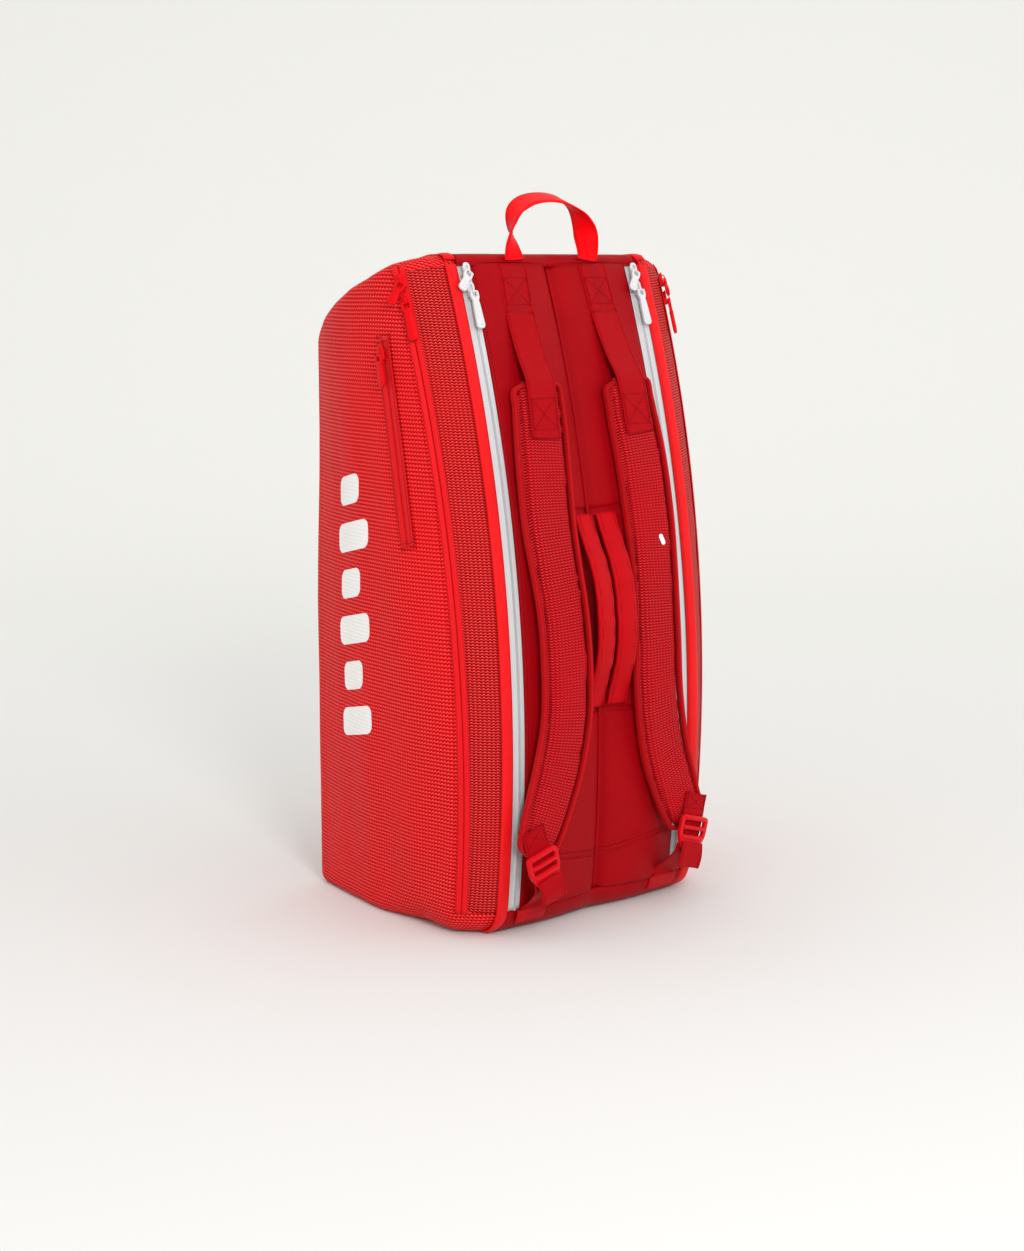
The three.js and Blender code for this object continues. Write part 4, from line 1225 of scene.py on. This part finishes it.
# straps
def boxStitch(centre, right, down, out, width, height, lift=0.0012):
    c, r, d, o = (np.array(v, dtype=float) for v in (centre, right, down, out))
    corner = [c + r * width / 2 * a + d * height / 2 * b + o * lift for a,
              b in ((-1, -1), (1, -1), (1, 1), (-1, 1))]
    lines = [(spline([corner[i], corner[(i + 1) % 4]], 8), tuple(o)) for i in range(4)]
    return lines + [(spline([corner[i], corner[i + 2]], 12), tuple(o)) for i in (0, 1)]


def bandEdges(path, across, width, inset, lift):  # stitch lines along both edges of a flat band
    path = np.asarray(path)
    tangent = np.gradient(path, axis=0)
    tangent /= np.linalg.norm(tangent, axis=1, keepdims=True)
    side = np.broadcast_to(np.array(across, dtype=float), path.shape).copy()
    side -= tangent * (side * tangent).sum(1, keepdims=True)
    side /= np.linalg.norm(side, axis=1, keepdims=True)
    up = np.cross(tangent, side)
    return [(path + side * k * (width / 2 - inset) + up * lift, up) for k in (-1, 1)]


padLine = [(68, -119, 619, 46), (68.5, -122, 607, 66), (70, -130, 570, 74), (74, -141, 520, 76),
           (76, -152, 460, 75), (74, -162, 410, 72),
           (71, -170, 365, 71), (69.5, -175, 315, 72), (71, -178, 250, 72), (82, -177, 190, 72),
           (102, -177, 134, 66), (114, -177, 106, 56),
           (121, -176, 90, 38)]
padLook = {"thick": 0.0088, "start": 0.0072, "voxel": 0.004, "pressure": 4.0, "frames": 20, "cap": 0.0032,
           "stations": 110, "around": 26,
           "inset": 0.0085, "groove": 0.0013, "edge": 0.0052}
padPath = spline(np.array([[x / 1000, y / 1000, z / 1000, w / 1000] for x, y, z, w in padLine]),
                 padLook["stations"])


def padFrame(sign):
    path = padPath[:, :3] * np.array([sign, 1, 1])
    tangent = np.gradient(path, axis=0)
    tangent /= np.linalg.norm(tangent, axis=1, keepdims=True)
    side = np.array([1.0, 0, 0]) - tangent * tangent[:, :1]
    side /= np.linalg.norm(side, axis=1, keepdims=True)
    return path, tangent, side, np.cross(tangent, side)


def simulate(obj, look):  # swell the pad with air, keep each point near where it was
    remesh = obj.modifiers.new("even", "REMESH")
    remesh.mode, remesh.voxel_size, remesh.use_smooth_shade = "VOXEL", look["voxel"], True
    applyModifiers(obj)
    start = np.zeros(len(obj.data.vertices) * 3)
    obj.data.vertices.foreach_get("co", start)
    cloth = obj.modifiers.new("air", "CLOTH")
    cloth.settings.use_pressure, cloth.settings.uniform_pressure_force = True, look["pressure"]
    cloth.settings.effector_weights.gravity = 0
    cloth.settings.quality = 5
    cloth.collision_settings.use_collision = False
    scene = bpy.context.scene
    for frameNumber in range(1, look["frames"] + 1):
        scene.frame_set(frameNumber)
    graph = bpy.context.evaluated_depsgraph_get()
    swollen = bpy.data.meshes.new_from_object(obj.evaluated_get(graph), depsgraph=graph)
    co = np.zeros(len(swollen.vertices) * 3)
    swollen.vertices.foreach_get("co", co)
    bpy.data.meshes.remove(swollen)
    obj.modifiers.clear()
    move = (co - start).reshape(-1, 3)
    far = np.linalg.norm(move, axis=1, keepdims=True)
    move *= np.minimum(1, look["cap"] / np.maximum(far, 1e-9))
    obj.data.vertices.foreach_set("co", (start.reshape(-1, 3) + move).ravel())
    scene.frame_set(1)
    smoother = obj.modifiers.new("smoother", "SMOOTH")
    smoother.factor, smoother.iterations = 0.5, 3
    finer = obj.modifiers.new("finer", "SUBSURF")
    finer.levels = finer.render_levels = 1
    return applyModifiers(obj)


def padCoordinates(points, frameParts):  # metres along the centre line, across it and out of it
    path, tangent, side, out = frameParts
    run = np.concatenate([[0], np.cumsum(np.linalg.norm(np.diff(path, axis=0), axis=1))])
    near = np.linalg.norm(points[:, None] - path[None], axis=2).argmin(1)
    delta = points - path[near]
    v = run[near] + (delta * tangent[near]).sum(1)
    return v, (delta * side[near]).sum(1), (delta * out[near]).sum(1), near


for side, sign in sides:
    parts = padFrame(sign)
    path, tangent, across, out = parts
    a = np.linspace(0, 2 * math.pi, padLook["around"] + 1)[:-1]
    rings = []
    for k in range(len(path)):
        half, t = padPath[k, 3] / 2 - 0.0022, padLook["start"] / 2
        ease = min(1.0, 0.55 + 0.45 * min(k, len(path) - 1 - k) / 3)
        u = half * np.sign(np.cos(a)) * np.abs(np.cos(a)) ** 0.55
        h = t * ease * np.sign(np.sin(a)) * np.abs(np.sin(a)) ** 0.75
        rings.append(path[k] + across[k] * u[:, None] + out[k] * h[:, None])
    verts = np.concatenate(rings)
    faces = gridFaces(len(path), len(a), closed=True) + [tuple(range(len(a)))[::-1],
            tuple(range((len(path) - 1) * len(a), len(path) * len(a)))]
    pad = faceOut(finishMesh(side + "_pad", verts, faces))
    simulate(pad, padLook)
    co = np.zeros(len(pad.data.vertices) * 3)
    pad.data.vertices.foreach_get("co", co)
    co = co.reshape(-1, 3)
    v, u, h, near = padCoordinates(co, parts)
    half = padPath[near, 3] / 2
    front = np.clip(h / 0.003, 0, 1)
    depth = -padLook["groove"] * np.exp(-((half - np.abs(u) - padLook["inset"]) / 0.0018) ** 2)
    rng = np.random.default_rng(70 + sign)
    for _ in range(34):  # cross wrinkles, strongest where the strap bends
        at, size, slant, mid, spread = rng.uniform(0.02, 0.56), rng.uniform(0.0022,
                0.0045), rng.uniform(-0.35, 0.35), rng.uniform(-0.02, 0.02), rng.uniform(0.008, 0.020)
        bend = 0.35 + 0.65 * math.exp(-((at - 0.07) / 0.07) ** 2) + 0.5 * math.exp(-((at - 0.44) / 0.07) ** 2)
        depth -= 0.0017 * bend * np.exp(-((v - at - slant * u) / size) ** 2) * np.exp(-((u - mid)
                / spread) ** 2)
    move = np.where(front > 0, depth * front, depth * 0.6 * np.clip(-h / 0.003, 0, 1) * -1)
    co = co + out[near] * move[:, None]
    pad.data.vertices.foreach_set("co", co.ravel())
    layer = pad.data.uv_layers.new(name="cloth")
    loopVerts = np.zeros(len(pad.data.loops), dtype=int)
    pad.data.loops.foreach_get("vertex_index", loopVerts)
    layer.data.foreach_set("uv", np.stack([u, v], -1)[loopVerts].ravel())
    pad.data.polygons.foreach_set("use_smooth", [True] * len(pad.data.polygons))
    settle(pad, side + "_strap", "pad", "side_weave", side + "_strap_pad")

    def rim(inset, lift, count):  # the pad's outline, a little inside its edge
        inner = padPath[:, 3] / 2 - inset
        first, last = int(2 + inset * 120), len(path) - 1 - int(1 + inset * 120)
        one = path[first:last] + across[first:last] * inner[first:last, None] + out[first:last] * lift
        two = path[first:last] - across[first:last] * inner[first:last, None] + out[first:last] * lift
        topMiddle = path[first] - tangent[first] * 0.002 + out[first] * lift
        lowMiddle = path[last] + tangent[last] * 0.001 + out[last] * lift
        ring = np.concatenate([[topMiddle], one[::4], [lowMiddle], two[::-1][::4], [topMiddle]])
        return spline(ring, count)
    edgePath = rim(0.0024, 0.0, 420)
    _, _, _, nearest = padCoordinates(edgePath, parts)
    b = np.linspace(0, 2 * math.pi, 15)[:-1]
    profile = np.stack([padLook["edge"] * np.cos(b), 0.0026 * np.sign(np.sin(b)) * np.abs(np.sin(b)) ** 0.8],
                       -1)
    edge = sweep(side + "_pad_edge", edgePath, out[nearest], profile)
    settle(edge, side + "_strap", "twill", "side_weave")
    inset = rim(padLook["inset"], 0.0, 300)
    _, _, _, nearest = padCoordinates(inset, parts)
    ray = inset + out[nearest] * 0.004
    lines = [(ray[4:-4], out[nearest][4:-4])]
    settle(beadsAlong(side + "_pad_stitches", lines, "thread", stitch), side + "_strap", None, "side_weave")
print("pads made")


# webbing on the bag, on the pads and to the buckles
webLook = {"width": 0.042, "thick": 0.0018, "narrow": 0.034}
buckleLook = {"x": 0.115, "y": -0.190, "z": 0.084, "width": 0.044, "height": 0.040, "thick": 0.0056,
              "lean": 16}
for side, sign in sides:
    wide = webLook["width"]
    fixed = spline([(sign * (0.060 + (0.740 - z) * 0.07), float(frontY(z)) - 0.0041, z)
                    for z in (0.7400, 0.726, 0.714, 0.700, 0.688)], 24)
    anchor = sweep(side + "_anchor_web", fixed, (1, 0, 0), flatBand(wide, webLook["thick"]))
    settle(anchor, "bag", "webbing", "webbing", side + "_anchor_webbing")
    middle, tangent = fixed[13], fixed[18] - fixed[8]
    tangent /= np.linalg.norm(tangent)
    outDir = np.cross(tangent, (1, 0, 0))
    lines = boxStitch(middle, (1, 0, 0), tangent, outDir, 0.034, 0.031) + bandEdges(fixed, (1, 0, 0), wide,
            0.0028, 0.0012)
    settle(beadsAlong(side + "_anchor_stitches", lines, "thread", stitch), "bag", None, "webbing")

    free = spline([(sign * 0.0637, float(frontY(0.6865)) - 0.0046, 0.6865), (sign * 0.0645, -0.0962, 0.671),
                   (sign * 0.0655, -0.1045, 0.654),
                   (sign * 0.0665, -0.1145, 0.636), (sign * 0.0677, -0.1262, 0.618),
                   (sign * 0.069, -0.1318, 0.600), (sign * 0.0704, -0.1385, 0.570),
                   (sign * 0.0715, -0.1428, 0.552)], 60)
    web = sweep(side + "_strap_web", free, (1, 0, 0), flatBand(wide, webLook["thick"]))
    settle(web, side + "_strap", "webbing", "webbing", side + "_strap_webbing")
    tangent = free[56] - free[44]
    tangent /= np.linalg.norm(tangent)
    outDir = np.cross(tangent, (1, 0, 0))
    lines = boxStitch(free[48], (1, 0, 0), tangent, outDir, 0.034, 0.034) + bandEdges(free, (1, 0, 0), wide,
            0.0026, 0.0011)
    settle(beadsAlong(side + "_strap_stitches", lines, "thread", stitch), side + "_strap", None, "webbing")

    lean = math.radians(buckleLook["lean"]) * sign
    down, right = np.array([-math.sin(lean), 0, -math.cos(lean)]), np.array([math.cos(lean), 0,
            -math.sin(lean)])
    centre = np.array([sign * buckleLook["x"], buckleLook["y"], buckleLook["z"]])

    def at(along, outward):
        return centre + down * along / 1000 + np.array([0, outward / 1000, 0])

    tabPath = spline([at(-46, 4.6), at(-39, 4.6), at(-33, 4.4), at(-26, 3.9), at(-18, 3.7), at(-6, 3.8),
                      at(8, 3.9)], 40)
    tab = sweep(side + "_tab_web", tabPath, right, flatBand(webLook["narrow"], webLook["thick"]))
    settle(tab, side + "_strap", "webbing", "webbing", side + "_strap_tab")
    tangent = tabPath[12] - tabPath[2]
    tangent /= np.linalg.norm(tangent)
    lines = boxStitch(tabPath[7], right, tangent, np.cross(tangent, right), 0.027, 0.016) + bandEdges(tabPath,
            right, webLook["narrow"], 0.0024, 0.0011)
    settle(beadsAlong(side + "_tab_stitches", lines, "thread", stitch), side + "_strap", None, "webbing")

    tailPath = spline([at(11, -5.0), at(20, -6.5), at(27, -7), at(34, -6.2), at(40, -4.8)], 30)
    tail = sweep(side + "_tail_web", tailPath, right, lambda t: flatBand(0.034 + 0.004 * t, 0.0018))
    lines = bandEdges(tailPath[9:], right, 0.036, 0.0026, 0.0011)
    settle(tail, side + "_tail", "webbing", "webbing", side + "_webbing_tail")
    settle(beadsAlong(side + "_tail_stitches", lines, "thread", stitch), side + "_tail", None, "webbing")

    foot = np.array([sign * 0.103, float(frontY(0.036)) - 0.0052, 0.0355])
    lowPath = spline([at(14, 3.0), at(21, 3.6), at(27, 6.5),
                      at(27, 6.5) * 0.55 + foot * 0.45 - np.array([0, 0, 0.0015]), foot,
                      foot + np.array([0, 0.0012, -0.0065])], 56)
    low = sweep(side + "_lower_web", lowPath, right, flatBand(webLook["narrow"], webLook["thick"]))
    low.data.materials.append(materials["webbing"])
    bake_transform(low)
    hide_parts(side + "_lower_webbing")

    tabFix = spline([(sign * 0.103, float(frontY(z)) + off / 1000, z) for z,
                     off in ((0.0285, -3.4), (0.020, -2.2), (0.0125, 0.8))], 20)
    foot = sweep(side + "_anchor_foot", tabFix, (1, 0, 0), flatBand(wide, 0.0022))
    settle(foot, "bag", "twill", "binding_tape", side + "_anchor_tab")

    m = np.eye(4)
    m[:3, 0], m[:3, 1], m[:3, 2], m[:3, 3] = right, (0, 1, 0), -down, centre
    w, h = buckleLook["width"], buckleLook["height"]
    outline = roundPoly([(-w / 2, h / 2), (-w / 2, -0.1 * h), (-0.3 * w, -h / 2), (0.3 * w, -h / 2),
                         (w / 2, -0.1 * h), (w / 2, h / 2)], 0.006)
    slots = [roundBox(-0.017, 0.017, low0, high0, 0.0014) for low0,
             high0 in ((0.008, 0.014), (-0.003, 0.003))]
    pieces = [plate(side + "_buckle", [outline] + slots, buckleLook["thick"], 0.0012, m)]
    # the bars stand proud of the plate
    for z0, size in ((0.0172, 0.0034), (0.0055, 0.0036), (-0.0062, 0.0040)):
        bar = spline([(-0.0175, -0.0026, z0), (-0.008, -0.0034, z0), (0.008, -0.0034, z0),
                      (0.0175, -0.0026, z0)], 16)
        pieces.append(tube(side + "_bar", bar, (0, 0, 1), size, 0.0030, m))
    lip = spline([(-0.0125, -0.0030, -0.0150), (0, -0.0042, -0.0176), (0.0125, -0.0030, -0.0150)], 16)
    pieces.append(tube(side + "_lip", lip, (0, 0, 1), 0.0040, 0.0030, m))
    settle(joined(side + "_buckle_shape", pieces), side + "_strap", "buckle", "red_plastic", side + "_buckle")
print("webbing and buckles made")


# handles
handleLook = {"width": 0.027, "thick": 0.0052, "lift": (0, 7, 17, 22, 23, 22, 17, 7, 0), "top": 0.464,
              "step": 0.027}
for side, sign in sides:
    points = []
    for k, out in enumerate(handleLook["lift"]):
        z = handleLook["top"] - k * handleLook["step"]
        points.append((sign * (0.017 - out * 0.00005),
                       float(frontY(z)) - (0.0044 if k % 8 else 0.0032) - out / 1000, z))
    path = spline(points, 90)
    across = (1, -0.12 * sign, 0)

    def handleProfile(t):
        full = min(1.0, 0.62 + 3.2 * min(t, 1 - t))
        base = flatBand(handleLook["width"], handleLook["thick"] * full, 5, 0.0008 * full)
        base[:, 1] += 0.0003 * np.sin(t * 60) * (base[:, 1] > 0)
        return base

    band = sweep(side + "_handle_band", path, across, handleProfile)
    settle(band, side + "_handle", "handle", "smooth_panel", side + "_carry_handle")
    lines = bandEdges(path, across, handleLook["width"], 0.0042, handleLook["thick"] / 2 + 0.0002)
    settle(beadsAlong(side + "_handle_stitches", lines, "thread", stitch), side + "_handle", None,
           "smooth_panel")

loopStops = [(-55, 0, 745, 0), (-55.5, 2, 760, 20), (-53, 6, 781, 60), (-44, 10, 800, 80), (-26, 12, 811, 88),
             (0, 12, 815, 90),
             (26, 12, 812, 92), (45, 10, 801, 100), (55, 6, 782, 120), (57, 2, 761, 160), (55, 0, 745, 180)]
loopPath = spline([(x / 1000, (back - 69) / 1000, z / 1000, math.radians(t)) for x, back, z, t in loopStops],
                  150)
loopAcross = np.stack([np.cos(loopPath[:, 3]), np.sin(loopPath[:, 3]), 0.4 * np.sin(loopPath[:, 3])], -1)
loop = sweep("grab_loop_web", loopPath[:, :3], loopAcross, flatBand(0.028, 0.0022, 4, 0.0003))
settle(loop, "grab_loop", "loop", "webbing", "grab_loop")
lines = bandEdges(loopPath[:, :3], loopAcross, 0.028, 0.0025, 0.0013) + bandEdges(loopPath[:, :3], loopAcross,
        0.028, 0.0025, -0.0013)
settle(beadsAlong("grab_loop_stitches", lines, "thread", stitch), "grab_loop", None, "webbing")
print("handles made")


# outer pocket zip on the left side panel
pocketLook = {"top": (-0.023, 0.661), "bottom": (-0.066, 0.436), "tape": 0.0195}
pocketT = np.linspace(0, 1, 70)[:, None]
dirY, dirZ = pocketLook["bottom"][0] - pocketLook["top"][0], pocketLook["bottom"][1] - pocketLook["top"][1]
span = math.hypot(dirY, dirZ)
acrossY, acrossZ = -dirZ / span, dirY / span


def onPocket(t, s, lift):  # t along the zip, s metres across it
    y = pocketLook["top"][0] + dirY * t + acrossY * s
    z = pocketLook["top"][1] + dirZ * t + acrossZ * s
    origin = np.stack([0 * y - 0.13, y, z], -1)
    return skinHit(origin, np.broadcast_to(np.array([-1.0, 0, 0]), origin.shape)) + np.array([-lift, 0, 0])


s = np.linspace(-pocketLook["tape"] / 2, pocketLook["tape"] / 2, 21)[None, :]
pts = onPocket(pocketT, s, 0.0)
lift = 0.0024 - 0.0010 * np.exp(-(s / 0.0020) ** 2) - 0.0004 * np.exp(-((np.abs(s) - 0.0042)
        / 0.0008) ** 2) + 0 * pocketT
pts[..., 0] -= lift
uvs = np.stack([np.abs(s) + 0 * pocketT, pocketT * span + 0 * s], -1)
settle(sheetGrid("pocket_tape", pts, 0.0012, (-1, 0, 0), uvs=uvs), "left_cover", "redTape", "binding_tape",
       "pocket_zip_tape")
t = np.linspace(0.01, 0.99, 200)
rows = [(onPocket(t + k * 0.0006, np.full(200, k * 0.00085), 0.0018), (-1, 0, 0)) for k in (-1, 1)]
settle(beadsAlong("pocket_teeth", rows, "redCoil", dict(coil, Width=0.0021)), "left_cover", None,
       "binding_tape")
rows = []
for inset in (0.0080, 0.0112):
    lift = 0.0028 if inset < 0.0085 else 0.0006
    ends = 0.003 if inset > 0.0085 else -0.004
    corners = [(-ends / span, -inset), (-ends / span, inset), (1 + ends / span, inset),
               (1 + ends / span, -inset), (-ends / span, -inset)]
    for (t0, s0), (t1, s1) in zip(corners[:-1], corners[1:]):
        k = np.linspace(0, 1, 60)
        rows.append((onPocket(t0 + (t1 - t0) * k, s0 + (s1 - s0) * k, lift), (-1, 0, 0)))
settle(beadsAlong("pocket_stitches", rows, "thread", stitch), "left_cover", None, "binding_tape")

m = shift(0.0858, -0.1650, 0.430) @ turnAbout("x", math.radians(-12)) @ turnAbout("y", math.radians(-20))
dot = plate("strap_mark", [roundBox(-0.0030, 0.0030, -0.0065, 0.0065, 0.0028)], 0.0010, 0.0003, m)
settle(dot, "right_strap", "whitePatch", "side_weave")
print("pocket zip made")

# floor, light and camera
# near and far floor colours: painted light, the far floor painted lighter where the lamps' light falls off
studio = {"near": rgb(219, 219, 217), "far": rgb(233, 233, 230), "world": 0.98}


def addLight(name, place, aim, size, power, color=(1, 1, 1)):
    light = bpy.data.lights.new(name, "AREA")
    light.shape, light.size, light.energy, light.color = "DISK", size, power, color
    obj = bpy.data.objects.new(name, light)
    obj.location = place
    obj.rotation_euler = (Vector(aim) - Vector(place)).to_track_quat("-Z", "Y").to_euler()
    bpy.context.scene.collection.objects.link(obj)


addLight("key", (-1.5, -3.1, 1.9), (0, 0, 0.4), 1.0, 63)
addLight("fill", (1.8, -2.6, 1.4), (0, 0, 0.4), 1.8, 8)
addLight("top", (0.2, 0.3, 3.0), (0, 0, 0.4), 2.2, 8)
world = bpy.data.worlds.new("studio")
bpy.context.scene.world = world
world.use_nodes = True
world.node_tree.nodes["Background"].inputs["Color"].default_value = (1, 0.995, 0.985, 1)
world.node_tree.nodes["Background"].inputs["Strength"].default_value = studio["world"]

floorMat, flow, where, cloth = startMaterial("pale floor")
soft = mottle(flow, where, 3.0)
x, y, z = where.split()
# the floor's colour grows lighter with distance, painted light making up for the lamps' falloff so floor and
# backdrop look evenly bright
away = (x * 0.66 + y * 0.75).soften(0.2, 2.4)
closeMaterial(flow, away.blendColors(studio["near"], studio["far"]), 0.85 + soft * 0.1)
verts, faces = [], []
profile = [(-6, 0), (2.2, 0)] + [(2.2 + 1.6 * math.sin(a), 1.6 - 1.6 * math.cos(a))
                                 for a in np.linspace(0, math.pi / 2, 14)[1:]] + [(3.8, 6)]
for x in (-7, 7):
    verts += [(x, y, z) for y, z in profile]
faces = [(k, k + 1, len(profile) + k + 1, len(profile) + k) for k in range(len(profile) - 1)]
floor = finishMesh("floor", [(0.75 * x + 0.66 * y, -0.66 * x + 0.75 * y, z) for x, y, z in verts], faces,
                   np.zeros((len(verts), 2)))
floor.data.materials.append(floorMat)

camera = bpy.data.cameras.new("camera")
camera.lens, camera.sensor_width, camera.sensor_fit = 61.34, 36, "AUTO"
eyeObject = bpy.data.objects.new("camera", camera)
eyeObject.location = (-1.6232, -1.8916, 0.7363)
eyeObject.rotation_euler = (math.radians(90 - 9.52), 0, math.radians(-40.65))
bpy.context.scene.collection.objects.link(eyeObject)
bpy.context.scene.camera = eyeObject
bpy.context.scene.view_settings.view_transform = "Standard"
